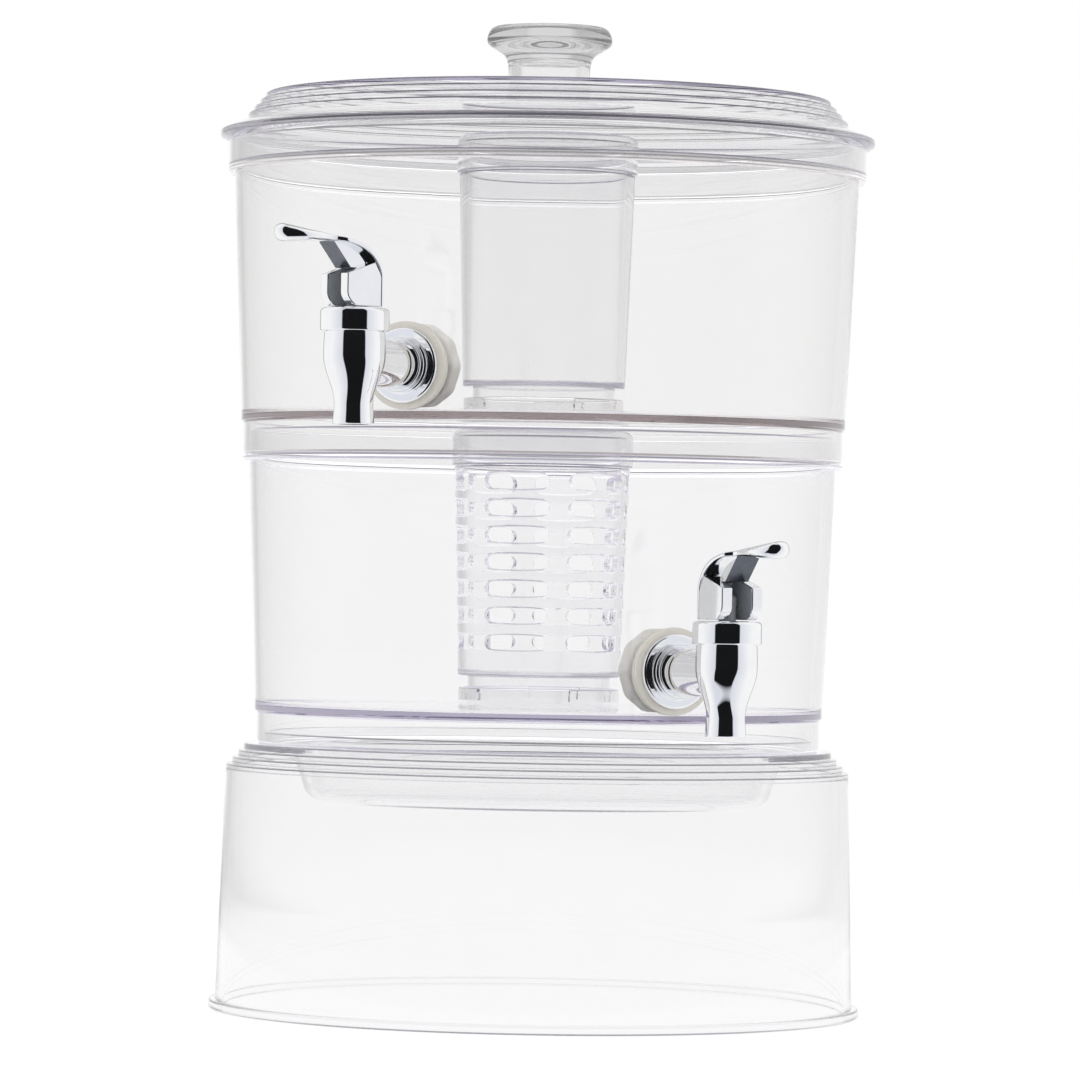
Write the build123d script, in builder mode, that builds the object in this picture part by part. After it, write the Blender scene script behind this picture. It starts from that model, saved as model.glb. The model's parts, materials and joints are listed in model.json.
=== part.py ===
from build123d import *
from dataclasses import dataclass
import math
import os

# Two-tier beverage dispenser: two clear stacking tanks on a clear stand, each with a lever spigot and a
# capped tube inside. Millimetres, +Z up, front towards -Y, origin at the centre of the stand's foot.

# Moulded walls and the room between pieces
wall = 2.6
floor_thickness = 3.0
slip_fit = 0.35
seat_gap = 0.3
run_fit = 0.08
edge_round = 0.8
rim_room = 3.0

# Tanks: the lower skirt sets the width, and each skirt above it is wider by a flare
tank_height = 125.0
lower_skirt_radius = 122.4
lower_skirt_height = 13.6
lower_flare = 8.0
upper_skirt_height = 14.0
upper_flare = 8.4
floor_step = 0.9
floor_round = 2.0
flange_ledge = 0.3
flange_thickness = 2.8

# Stepped shoulder, shared by the stand and the lid
shoulder_run = 10.2
shoulder_rise = 11.9
shoulder_rings = 4

# Base stand
base_height = 115.0
base_ledge = 2.8
base_taper = 3.0
base_bead_reach = 2.9
base_bead_height = 4.0
base_rim_height = 5.2
well_inset = 12.25
well_slope = 7.6
well_depth = 22.0
well_round = 6.0

# Lid and its knob
lid_skirt_height = 11.0
lid_lip_reach = 3.6
lid_lip_rise = 2.2
lid_lip_thickness = 2.4
lid_shoulder_inset = 8.1
lid_shoulder_height = 20.0
knob_height = 31.3
knob_neck_radius = 17.8
knob_foot_reach = 1.8
knob_neck_height = 8.0
knob_throat_height = 17.0
knob_head_reach = 9.5
knob_head_drop = 5.7
knob_rim_inset = 3.9
knob_dish_depth = 3.0
knob_core_wall = 3.5
knob_core_height = 17.5
knob_core_round = 3.0
knob_seat_depth = 1.0

# Tubes, their caps and the sockets on the tank floors
chiller_height = 123.3
infuser_head_room = 1.2
tube_wall = 2.0
tube_bottom_radius = 35.3
tube_flare = 3.0
tube_foot_inset = 4.3
socket_wall = 2.35
socket_height = 9.3
socket_gap = 4.9
cap_overhang = 1.1
cap_height = 14.8
cap_wall = 2.0
cap_round = 4.0
cap_room = 1.2
lug_count = 3
lug_spread = 44.0
lug_reach = 1.3
lug_height = 3.0
lug_lift = 3.8
tab_height = 1.8

# Slots of the infuser basket
slot_columns = 6
slot_rows = 7
slot_length = 27.5
slot_height = 5.7
slot_margin_low = 14.9
slot_margin_high = 6.7
slot_turn = -18.0

# Spigots: azimuths are degrees from the front towards +X
upper_spigot_azimuth = -25.6
lower_spigot_azimuth = 26.6
upper_lever_azimuth = -55.0
lower_lever_azimuth = 33.0
spout_reach = 47.5
shank_radius = 10.0
shank_step = 0.5
shank_step_length = 8.0
shank_bore = 5.0
shank_collar_reach = 1.3
shank_collar_length = 3.4
spigot_flange_reach = 3.95
spigot_flange_thickness = 2.6
tail_radius = 8.0
tail_stickout = 1.5
gasket_overhang = 2.65
gasket_thickness = 2.2
inner_gasket_overhang = 0.85
inner_gasket_thickness = 3.2
gasket_gap = 0.05
nut_overhang = 0.2
nut_sides = 10
nut_thickness = 10.0
nut_room = 0.3

# Bell of the spout: the waist sets the bore, the valve and the chamber over it
bell_waist_radius = 8.05
bell_waist_drop = 29.3
bell_belly_drop = 9.9
bell_swell = 0.3
bell_ledge = 0.9
outlet_flare = 0.65
outlet_height = 8.5
outlet_wall = 1.65
valve_lip = 1.2
valve_lip_thickness = 2.5
valve_seat_room = 2.0
plug_overlap = 2.2
chamber_room = 2.0
neck_wall = 2.2
neck_height = 6.0

# Bonnet, stem, plug and spring
bonnet_room = 1.4
bonnet_wall = 2.35
bonnet_height = 9.9
bonnet_plate = 2.5
bonnet_round = 1.5
stem_radius = 3.6
stem_collar_room = 1.4
stem_collar_height = 1.5
plug_height = 4.0
plug_nose_height = 1.4
plug_socket_depth = 2.0
plug_gap = 0.1
spring_wire = 1.1
spring_room = 2.15
spring_length = 11.0
spring_turns = 5

# Lever, measured outward from the stem and up from the bonnet's top
lever_width = 19.5
lever_cheek = 4.6
lever_gap = 0.4
lever_back_reach = 7.4
lever_back_wall = 2.0
lever_spine_rise = 12.0
lever_toe_reach = 6.2
lever_nose_reach = 10.6
lever_nose_low = 6.0
lever_nose_rise = 13.6
lever_crown_setback = 2.0
lever_crown_rise = 18.0
lever_slot_over = 0.8
lever_web_width = 12.0
lever_web_foot_reach = 5.6
lever_web_top_reach = 14.2
brow_setback = 1.5
brow_rise = 21.8
hood_reach = 12.0
hood_rise = 27.4
hood_thickness = 2.4
paddle_neck_width = 14.0
paddle_neck_reach = 15.0
paddle_width = 16.5
paddle_broad_reach = 25.5
paddle_crest_reach = 34.5
paddle_crest_rise = 32.4
paddle_tip_reach = 37.2
paddle_tip_rise = 29.6
paddle_overrun = 0.8
paddle_lip_reach = 34.0
paddle_lip_rise = 26.4
paddle_hollow_reach = 25.0
paddle_hollow_rise = 25.6
pin_radius = 1.5
pin_rise = 7.0
pin_skin = 1.2

# Heights of the stack, worked out from the sizes above
lower_seat = base_height
upper_seat = lower_seat + tank_height
lid_seat = upper_seat + tank_height
lid_roof_height = lid_skirt_height + lid_lip_rise + lid_lip_thickness / 2
lid_top = lid_seat + lid_shoulder_height + shoulder_rise

# Radii of the stand and the lid
upper_skirt_radius = lower_skirt_radius + lower_flare
lid_skirt_radius = upper_skirt_radius + upper_flare
base_wall_radius = lower_skirt_radius + base_ledge + shoulder_run
base_foot_radius = base_wall_radius + base_taper
base_rim_radius = lower_skirt_radius - wall - slip_fit
well_mouth_radius = base_rim_radius - wall - well_inset
well_floor_radius = well_mouth_radius - well_slope
lid_shoulder_radius = lid_skirt_radius - lid_shoulder_inset
knob_foot_radius = knob_neck_radius + knob_foot_reach
knob_head_radius = knob_neck_radius + knob_head_reach
knob_core_radius = knob_neck_radius - knob_core_wall

# Tubes: the infuser fills the room between the lower floor and the floor over it
infuser_height = tank_height + upper_skirt_height - lower_skirt_height - floor_thickness - infuser_head_room
tube_step_height = socket_height + socket_gap
tube_foot_radius = tube_bottom_radius - tube_foot_inset
tube_top_radius = tube_bottom_radius + tube_flare
cap_radius = tube_top_radius + cap_overhang
socket_bore = tube_foot_radius + lug_reach + slip_fit
socket_radius = socket_bore + socket_wall

# Spigots, from the bore outward and from the shank's axis upward
outlet_bore = bell_waist_radius - outlet_wall
valve_bore = outlet_bore - valve_lip
plug_radius = valve_bore + plug_overlap
chamber_radius = plug_radius + chamber_room
neck_radius = chamber_radius + neck_wall
bell_top_radius = neck_radius + bell_ledge
bonnet_bore = neck_radius + slip_fit
bonnet_radius = bonnet_bore + bonnet_wall
stem_collar_radius = chamber_radius - stem_collar_room
spring_radius = stem_radius + spring_room + spring_wire / 2
shank_collar_radius = shank_radius + shank_step + shank_collar_reach
spigot_flange_radius = shank_collar_radius + spigot_flange_reach
gasket_radius = spigot_flange_radius + gasket_overhang
inner_gasket_radius = spigot_flange_radius + inner_gasket_overhang
nut_radius = gasket_radius + nut_overhang
spigot_rise = nut_radius + nut_room
bonnet_seat = shank_radius + shank_step + bonnet_room
bonnet_top = bonnet_seat + bonnet_height
plate_under = bonnet_top - bonnet_plate
pin_height = bonnet_top + pin_rise
valve_seat = -(shank_bore + valve_seat_room)
outlet = bonnet_seat - bell_waist_drop - outlet_height


@dataclass
class Tier:
    """Heights and radii of one tank, from its seat, its skirt, the rim for the next skirt and its tube."""

    seat: float
    skirt_radius: float
    skirt_height: float
    rim_radius: float
    rim_height: float
    tube_height: float

    @property
    def floor_under(self):
        return self.seat + self.skirt_height

    @property
    def floor_top(self):
        return self.floor_under + floor_thickness

    @property
    def flange_top(self):
        return self.seat + tank_height

    @property
    def flange_under(self):
        return self.flange_top - flange_thickness

    @property
    def wall_radius(self):
        return self.skirt_radius + floor_step

    @property
    def wall_foot(self):
        return self.floor_under + floor_step

    @property
    def shank_height(self):
        return self.floor_top + spigot_rise

    @property
    def cap_top(self):
        return self.floor_top + self.tube_height

    def outer_radius(self, height):
        """Outside radius of the tapering wall at a height."""
        share = (height - self.wall_foot) / (self.flange_under - self.wall_foot)
        return self.wall_radius + share * (self.rim_radius - self.wall_radius)

    def inner_radius(self, height):
        """Inside radius of the tapering wall at a height."""
        share = (height - self.floor_top) / (self.flange_under - self.floor_top)
        return self.wall_radius - wall + share * (self.rim_radius - self.wall_radius)


lower_tier = Tier(
    lower_seat,
    lower_skirt_radius,
    lower_skirt_height,
    upper_skirt_radius - wall - slip_fit,
    upper_skirt_height - rim_room,
    infuser_height,
)
upper_tier = Tier(
    upper_seat,
    upper_skirt_radius,
    upper_skirt_height,
    lid_skirt_radius - wall - slip_fit,
    lid_roof_height - rim_room,
    chiller_height,
)


def save(piece, name):
    """Label a finished piece and write it under its own name."""
    piece.part.label = name
    export_step(piece.part, f"parts/{name}.step")


def facing(origin, azimuth):
    """A level plane whose x axis points outward at an azimuth."""
    turn = math.radians(azimuth)
    return Plane(origin=origin, x_dir=(math.sin(turn), -math.cos(turn), 0), z_dir=(0, 0, 1))


def upright(level):
    """The vertical plane through a level plane's x axis, with y up."""
    return Plane(origin=level.origin, x_dir=level.x_dir, z_dir=-level.y_dir)


def across(level, reach):
    """The vertical plane square to a level plane's x axis, at a reach along it, facing outward."""
    return Plane(origin=level.origin + level.x_dir * reach, x_dir=level.y_dir, z_dir=level.x_dir)


def corner(section, radius, height):
    """The corner of a half section nearest to a point."""
    return section.vertices().sort_by_distance((radius, height))[0]


def ring_steps(foot_radius, foot_height):
    """Corners of the stepped shoulder, from its foot up to its top edge."""
    run = shoulder_run / shoulder_rings
    rise = shoulder_rise / shoulder_rings
    points = []
    for ring in range(shoulder_rings):
        points.append((foot_radius - ring * run, foot_height + (ring + 1) * rise))
        points.append((foot_radius - (ring + 1) * run, foot_height + (ring + 1) * rise))
    return points


def shoulder_inset():
    """How far inward the underside of a stepped shoulder lies, for an even wall under it."""
    return wall * math.tan(math.atan2(shoulder_rise, shoulder_run) / 2)


def build_base_stand():
    top_edge = base_wall_radius - shoulder_run
    shoulder_foot = base_height - shoulder_rise
    bead_radius = base_foot_radius + base_bead_reach
    rim_top = base_height + base_rim_height
    well_floor = base_height - well_depth
    inset = shoulder_inset()
    with BuildPart() as base_stand:
        with BuildSketch(Plane.XZ) as section:
            with BuildLine():
                Polyline(
                    (0, well_floor - wall),
                    (well_floor_radius + wall, well_floor - wall),
                    (well_mouth_radius + wall, base_height - wall),
                    (top_edge - inset, base_height - wall),
                    (base_wall_radius - inset, shoulder_foot - wall),
                    (base_foot_radius - wall, base_bead_height),
                    (base_foot_radius - wall, 0),
                    (bead_radius, 0),
                    (bead_radius, base_bead_height),
                    (base_foot_radius, base_bead_height),
                    (base_wall_radius, shoulder_foot),
                    *ring_steps(base_wall_radius, shoulder_foot),
                    (base_rim_radius, base_height),
                    (base_rim_radius, rim_top),
                    (base_rim_radius - wall, rim_top),
                    (base_rim_radius - wall, base_height),
                    (well_mouth_radius, base_height),
                    (well_floor_radius, well_floor),
                    (0, well_floor),
                    close=True,
                )
            make_face()
            fillet(corner(section, well_floor_radius, well_floor), well_round)
            fillet(corner(section, well_floor_radius + wall, well_floor - wall), well_round + wall)
            bead_corners = [corner(section, bead_radius, 0), corner(section, bead_radius, base_bead_height)]
            fillet(bead_corners, edge_round)
        revolve(axis=Axis.Z)
    return base_stand


def build_tank(tier, spigot_azimuth):
    flange_radius = tier.rim_radius + slip_fit + wall + flange_ledge
    rim_top = tier.flange_top + tier.rim_height
    tab_floor = tier.floor_top + lug_lift + lug_height + slip_fit
    shank = facing((0, 0, tier.shank_height), spigot_azimuth)
    with BuildPart() as tank:
        with BuildSketch(Plane.XZ) as section:
            with BuildLine():
                Polyline(
                    (0, tier.floor_under),
                    (tier.skirt_radius - wall, tier.floor_under),
                    (tier.skirt_radius - wall, tier.seat),
                    (tier.skirt_radius, tier.seat),
                    (tier.skirt_radius, tier.floor_under),
                    (tier.wall_radius, tier.wall_foot),
                    (tier.rim_radius, tier.flange_under),
                    (flange_radius, tier.flange_under),
                    (flange_radius, tier.flange_top),
                    (tier.rim_radius, tier.flange_top),
                    (tier.rim_radius, rim_top),
                    (tier.rim_radius - wall, rim_top),
                    (tier.rim_radius - wall, tier.flange_under),
                    (tier.wall_radius - wall, tier.floor_top),
                    (0, tier.floor_top),
                    close=True,
                )
            make_face()
            fillet(corner(section, tier.wall_radius - wall, tier.floor_top), floor_round)
            flange_corners = [
                corner(section, flange_radius, tier.flange_under),
                corner(section, flange_radius, tier.flange_top),
            ]
            fillet(flange_corners, edge_round)
            fillet(corner(section, tier.skirt_radius, tier.seat), edge_round)
            fillet(corner(section, tier.rim_radius, rim_top), edge_round)
        revolve(axis=Axis.Z)
        with BuildSketch(Plane.XY.offset(tier.floor_top)):
            Circle(socket_radius)
            Circle(socket_bore, mode=Mode.SUBTRACT)
        extrude(amount=socket_height)
        with BuildSketch(Plane.XY.offset(tab_floor)):
            Circle(socket_bore + socket_wall / 2)
            Circle(tube_foot_radius + slip_fit, mode=Mode.SUBTRACT)
            with PolarLocations(0, lug_count, start_angle=180 / lug_count):
                add(gap_wedge(), mode=Mode.SUBTRACT)
        extrude(amount=tab_height)
        with BuildSketch(across(shank, 0)):
            Circle(tail_radius + slip_fit)
        extrude(amount=tier.rim_radius, mode=Mode.SUBTRACT)
    return tank


def gap_wedge():
    """The wedge of floor between two neighbouring lugs or tabs, centred on x."""
    half = math.radians((360 / lug_count - lug_spread) / 2)
    far = 2 * socket_radius
    with BuildSketch(mode=Mode.PRIVATE) as wedge:
        with BuildLine():
            Polyline(
                (0, 0),
                (far * math.cos(half), -far * math.sin(half)),
                (far * math.cos(half), far * math.sin(half)),
                close=True,
            )
        make_face()
    return wedge.sketch


def build_lid():
    top_edge = lid_shoulder_radius - shoulder_run
    shoulder_foot = lid_seat + lid_shoulder_height
    lip_radius = lid_skirt_radius + lid_lip_reach
    lip_under = lid_seat + lid_skirt_height + lid_lip_rise
    lip_top = lip_under + lid_lip_thickness
    recess_radius = knob_foot_radius + slip_fit
    inset = shoulder_inset()
    with BuildPart() as lid:
        with BuildSketch(Plane.XZ) as section:
            with BuildLine():
                Polyline(
                    (0, lid_top - wall),
                    (top_edge - inset, lid_top - wall),
                    (lid_shoulder_radius - inset, shoulder_foot - wall),
                    (lid_skirt_radius - wall, lid_seat + lid_roof_height),
                    (lid_skirt_radius - wall, lid_seat),
                    (lid_skirt_radius, lid_seat),
                    (lid_skirt_radius, lid_seat + lid_skirt_height),
                    (lip_radius, lip_under),
                    (lip_radius, lip_top),
                    (lid_shoulder_radius, shoulder_foot),
                    *ring_steps(lid_shoulder_radius, shoulder_foot),
                    (recess_radius, lid_top),
                    (recess_radius, lid_top - knob_seat_depth),
                    (0, lid_top - knob_seat_depth),
                    close=True,
                )
            make_face()
            lip_corners = [corner(section, lip_radius, lip_under), corner(section, lip_radius, lip_top)]
            fillet(lip_corners, edge_round)
            fillet(corner(section, lid_skirt_radius, lid_seat), edge_round)
        revolve(axis=Axis.Z)
    return lid


def build_lid_knob():
    foot = lid_top - knob_seat_depth
    rim = (knob_head_radius - knob_rim_inset, lid_top + knob_height)
    head = (knob_head_radius, lid_top + knob_height - knob_head_drop)
    dish = (0, lid_top + knob_height - knob_dish_depth)
    neck = (knob_neck_radius, lid_top + knob_neck_height)
    throat = (knob_neck_radius + edge_round, lid_top + knob_throat_height)
    core_top = lid_top + knob_core_height
    with BuildPart() as lid_knob:
        with BuildSketch(Plane.XZ) as section:
            with BuildLine():
                Polyline((knob_core_radius, foot), (knob_foot_radius, foot), (knob_foot_radius, lid_top))
                Spline(
                    (knob_foot_radius, lid_top),
                    neck,
                    throat,
                    head,
                    tangents=[(-1, 2), (0, 1), (1, 3), (0, 1)],
                )
                Spline(head, rim, tangents=[(0, 1), (-1, 0)])
                Spline(rim, dish, tangents=[(-1, 0), (-1, 0)])
                Polyline(dish, (0, core_top), (knob_core_radius, core_top), (knob_core_radius, foot))
            make_face()
            fillet(corner(section, knob_core_radius, core_top), knob_core_round)
        revolve(axis=Axis.Z)
    return lid_knob


def build_tube(tier, slotted):
    foot = tier.floor_top + seat_gap
    step = tier.floor_top + tube_step_height
    shoulder = tier.cap_top - cap_height - seat_gap
    neck = cap_radius - cap_wall - slip_fit
    neck_top = tier.cap_top - cap_wall - cap_room
    row_low = step + slot_margin_low
    row_high = shoulder - slot_margin_high
    slot_pitch = (row_high - row_low) / (slot_rows - 1)
    with BuildPart() as tube:
        with BuildSketch(Plane.XZ) as section:
            with BuildLine():
                Polyline(
                    (0, step),
                    (tube_foot_radius - tube_wall, step),
                    (tube_foot_radius - tube_wall, foot),
                    (tube_foot_radius, foot),
                    (tube_foot_radius, step),
                    (tube_bottom_radius, step),
                    (tube_top_radius, shoulder),
                    (neck, shoulder),
                    (neck, neck_top),
                    (neck - tube_wall, neck_top),
                    (tube_bottom_radius - tube_wall, step + tube_wall),
                    (0, step + tube_wall),
                    close=True,
                )
            make_face()
            fillet(corner(section, tube_bottom_radius, step), edge_round)
        revolve(axis=Axis.Z)
        with BuildSketch(Plane.XY.offset(tier.floor_top + lug_lift)):
            Circle(tube_foot_radius + lug_reach)
            Circle(tube_foot_radius - tube_wall / 2, mode=Mode.SUBTRACT)
            with PolarLocations(0, lug_count, start_angle=180 / lug_count):
                add(gap_wedge(), mode=Mode.SUBTRACT)
        extrude(amount=lug_height)
        if slotted:
            for column in range(slot_columns):
                level = facing((0, 0, (row_low + row_high) / 2), slot_turn + column * 360 / slot_columns)
                with BuildSketch(across(level, 0)):
                    with GridLocations(0, slot_pitch, 1, slot_rows):
                        SlotOverall(slot_length, slot_height)
                extrude(amount=2 * tube_top_radius, mode=Mode.SUBTRACT)
    return tube


def build_cap(tier):
    top = tier.cap_top
    bottom = top - cap_height
    bore = cap_radius - cap_wall
    with BuildPart() as cap:
        with BuildSketch(Plane.XZ) as section:
            with BuildLine():
                Polyline(
                    (0, top - cap_wall),
                    (bore, top - cap_wall),
                    (bore, bottom),
                    (cap_radius, bottom),
                    (cap_radius, top),
                    (0, top),
                    close=True,
                )
            make_face()
            fillet(corner(section, cap_radius, top), cap_round)
            fillet(corner(section, bore, top - cap_wall), cap_round - cap_wall)
        revolve(axis=Axis.Z)
    return cap


def spout_frame(tier, spigot_azimuth, facing_azimuth):
    """The level plane where a spigot's upright axis meets its shank, facing an azimuth."""
    turn = math.radians(spigot_azimuth)
    reach = tier.outer_radius(tier.shank_height) + spout_reach
    return facing((reach * math.sin(turn), -reach * math.cos(turn), tier.shank_height), facing_azimuth)


def upright_axis(level):
    """The vertical axis through a level plane's origin."""
    return Axis(level.origin, (0, 0, 1))


def nut_face(tier):
    """Reach of the nut's seat along the shank, inside the tank."""
    through = tier.outer_radius(tier.shank_height) - tier.inner_radius(tier.shank_height)
    return -(spout_reach + through + inner_gasket_thickness)


def build_spigot_body(tier, level):
    neck_top = bonnet_seat + neck_height
    lip_under = valve_seat - valve_lip_thickness
    flange_back = gasket_thickness - spout_reach
    flange_front = flange_back + spigot_flange_thickness
    tail_end = nut_face(tier) - nut_thickness - tail_stickout
    with BuildPart() as body:
        with BuildSketch(upright(level)):
            with BuildLine():
                Polyline((0, outlet), (0, neck_top), (neck_radius, neck_top), (neck_radius, bonnet_seat))
                Line((neck_radius, bonnet_seat), (bell_top_radius, bonnet_seat))
                Spline(
                    (bell_top_radius, bonnet_seat),
                    (bell_top_radius + bell_swell, bonnet_seat - bell_belly_drop),
                    (bell_waist_radius, bonnet_seat - bell_waist_drop),
                    (bell_waist_radius + outlet_flare, outlet),
                    tangents=[(0.1, -1), (0, -1), (0, -1), (0.1, -1)],
                )
                Line((bell_waist_radius + outlet_flare, outlet), (0, outlet))
            make_face()
        revolve(axis=upright_axis(level))
        with BuildSketch(across(level, flange_back)):
            Circle(spigot_flange_radius)
        extrude(amount=spigot_flange_thickness)
        with BuildSketch(across(level, flange_front)):
            Circle(shank_collar_radius)
        extrude(amount=shank_collar_length)
        with BuildSketch(across(level, flange_front)):
            Circle(shank_radius + shank_step)
        extrude(amount=shank_collar_length + shank_step_length)
        with BuildSketch(across(level, flange_front)):
            Circle(shank_radius)
        extrude(amount=-flange_front)
        with BuildSketch(across(level, tail_end)):
            Circle(tail_radius)
        extrude(amount=flange_back - tail_end)
        with BuildSketch(upright(level)):
            with BuildLine():
                Polyline(
                    (0, outlet),
                    (outlet_bore, outlet),
                    (outlet_bore, lip_under),
                    (valve_bore, lip_under),
                    (valve_bore, valve_seat),
                    (chamber_radius, valve_seat),
                    (chamber_radius, neck_top),
                    (0, neck_top),
                    close=True,
                )
            make_face()
        revolve(axis=upright_axis(level), mode=Mode.SUBTRACT)
        with BuildSketch(across(level, tail_end)):
            Circle(shank_bore)
        extrude(amount=-tail_end, mode=Mode.SUBTRACT)
    return body


def tank_core(tier, radius_at, gap):
    """Half section of the round space inside a tapering face, wider than it by a gap."""
    low = tier.floor_top
    high = tier.flange_under
    with BuildSketch(Plane.XZ, mode=Mode.PRIVATE) as core:
        with BuildLine():
            foot = radius_at(low) + gap
            head = radius_at(high) + gap
            Polyline((0, low), (foot, low), (head, high), (0, high), close=True)
        make_face()
    return core.sketch


def build_outer_gasket(tier, level):
    with BuildPart() as gasket:
        with BuildSketch(across(level, gasket_thickness - spout_reach)):
            Circle(gasket_radius)
            Circle(tail_radius + slip_fit, mode=Mode.SUBTRACT)
        extrude(amount=-gasket_thickness - gasket_radius / 2)
        revolve(tank_core(tier, tier.outer_radius, gasket_gap), axis=Axis.Z, mode=Mode.SUBTRACT)
    return gasket


def build_inner_gasket(tier, level):
    with BuildPart() as gasket:
        with BuildSketch(across(level, nut_face(tier))):
            Circle(inner_gasket_radius)
            Circle(tail_radius + slip_fit, mode=Mode.SUBTRACT)
        extrude(amount=inner_gasket_thickness + inner_gasket_radius / 2)
        revolve(tank_core(tier, tier.inner_radius, -gasket_gap), axis=Axis.Z, mode=Mode.INTERSECT)
    return gasket


def build_shank_nut(tier, level):
    with BuildPart() as nut:
        with BuildSketch(across(level, nut_face(tier))):
            RegularPolygon(nut_radius, nut_sides)
            Circle(tail_radius + run_fit, mode=Mode.SUBTRACT)
        extrude(amount=-nut_thickness)
    return nut


def build_bonnet(level):
    skirt = bonnet_seat + seat_gap
    with BuildPart() as bonnet:
        with BuildSketch(upright(level)) as section:
            with BuildLine():
                Polyline(
                    (bonnet_bore, skirt),
                    (bonnet_radius, skirt),
                    (bonnet_radius, bonnet_top),
                    (stem_radius + run_fit, bonnet_top),
                    (stem_radius + run_fit, plate_under),
                    (bonnet_bore, plate_under),
                    close=True,
                )
            make_face()
            fillet(corner(section, bonnet_radius, bonnet_top), bonnet_round)
        revolve(axis=upright_axis(level))
    return bonnet


def build_valve_stem(level):
    foot = valve_seat + plug_gap + plug_height - plug_socket_depth
    collar_top = plate_under - spring_length - 2 * plug_gap
    collar_under = collar_top - stem_collar_height
    post_top = pin_height + stem_radius
    with BuildPart() as stem:
        with BuildSketch(upright(level)) as section:
            with BuildLine():
                Polyline(
                    (0, foot),
                    (stem_radius, foot),
                    (stem_radius, collar_under),
                    (stem_collar_radius, collar_under),
                    (stem_collar_radius, collar_top),
                    (stem_radius, collar_top),
                    (stem_radius, post_top),
                    (0, post_top),
                    close=True,
                )
            make_face()
            fillet(corner(section, stem_radius, post_top), stem_radius / 2)
        revolve(axis=upright_axis(level))
        with BuildSketch(upright(level)):
            with Locations((0, pin_height)):
                Circle(pin_radius + run_fit)
        extrude(amount=2 * stem_radius, both=True, mode=Mode.SUBTRACT)
    return stem


def build_seat_plug(level):
    bottom = valve_seat + plug_gap
    top = bottom + plug_height
    nose_radius = valve_bore - slip_fit
    stem_socket = stem_radius + run_fit
    with BuildPart() as plug:
        with BuildSketch(upright(level)):
            with BuildLine():
                Polyline(
                    (0, bottom - plug_nose_height),
                    (nose_radius, bottom - plug_nose_height),
                    (nose_radius, bottom),
                    (plug_radius, bottom),
                    (plug_radius, top),
                    (stem_socket, top),
                    (stem_socket, top - plug_socket_depth),
                    (0, top - plug_socket_depth),
                    close=True,
                )
            make_face()
        revolve(axis=upright_axis(level))
    return plug


def build_return_spring(level):
    rise = spring_length - spring_wire
    base = plate_under - plug_gap - spring_length + spring_wire / 2
    with BuildPart() as spring:
        with BuildLine(level.offset(base)) as coil:
            Helix(rise / spring_turns, rise, spring_radius)
        with BuildSketch(Plane(origin=coil.line @ 0, z_dir=coil.line % 0)):
            Circle(spring_wire / 2)
        sweep(path=coil.line, is_frenet=True)
    return spring


def build_lever_pin(level):
    with BuildPart() as pin:
        with BuildSketch(upright(level)):
            with Locations((0, pin_height)):
                Circle(pin_radius)
        extrude(amount=lever_width / 2 - pin_skin - slip_fit, both=True)
    return pin


def cheek_rise(reach):
    """Height of the sloping top of the lever's cheeks at a reach from the stem."""
    slope = (lever_nose_rise - lever_crown_rise) / (lever_nose_reach + lever_crown_setback)
    return lever_crown_rise + slope * (reach + lever_crown_setback)


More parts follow.
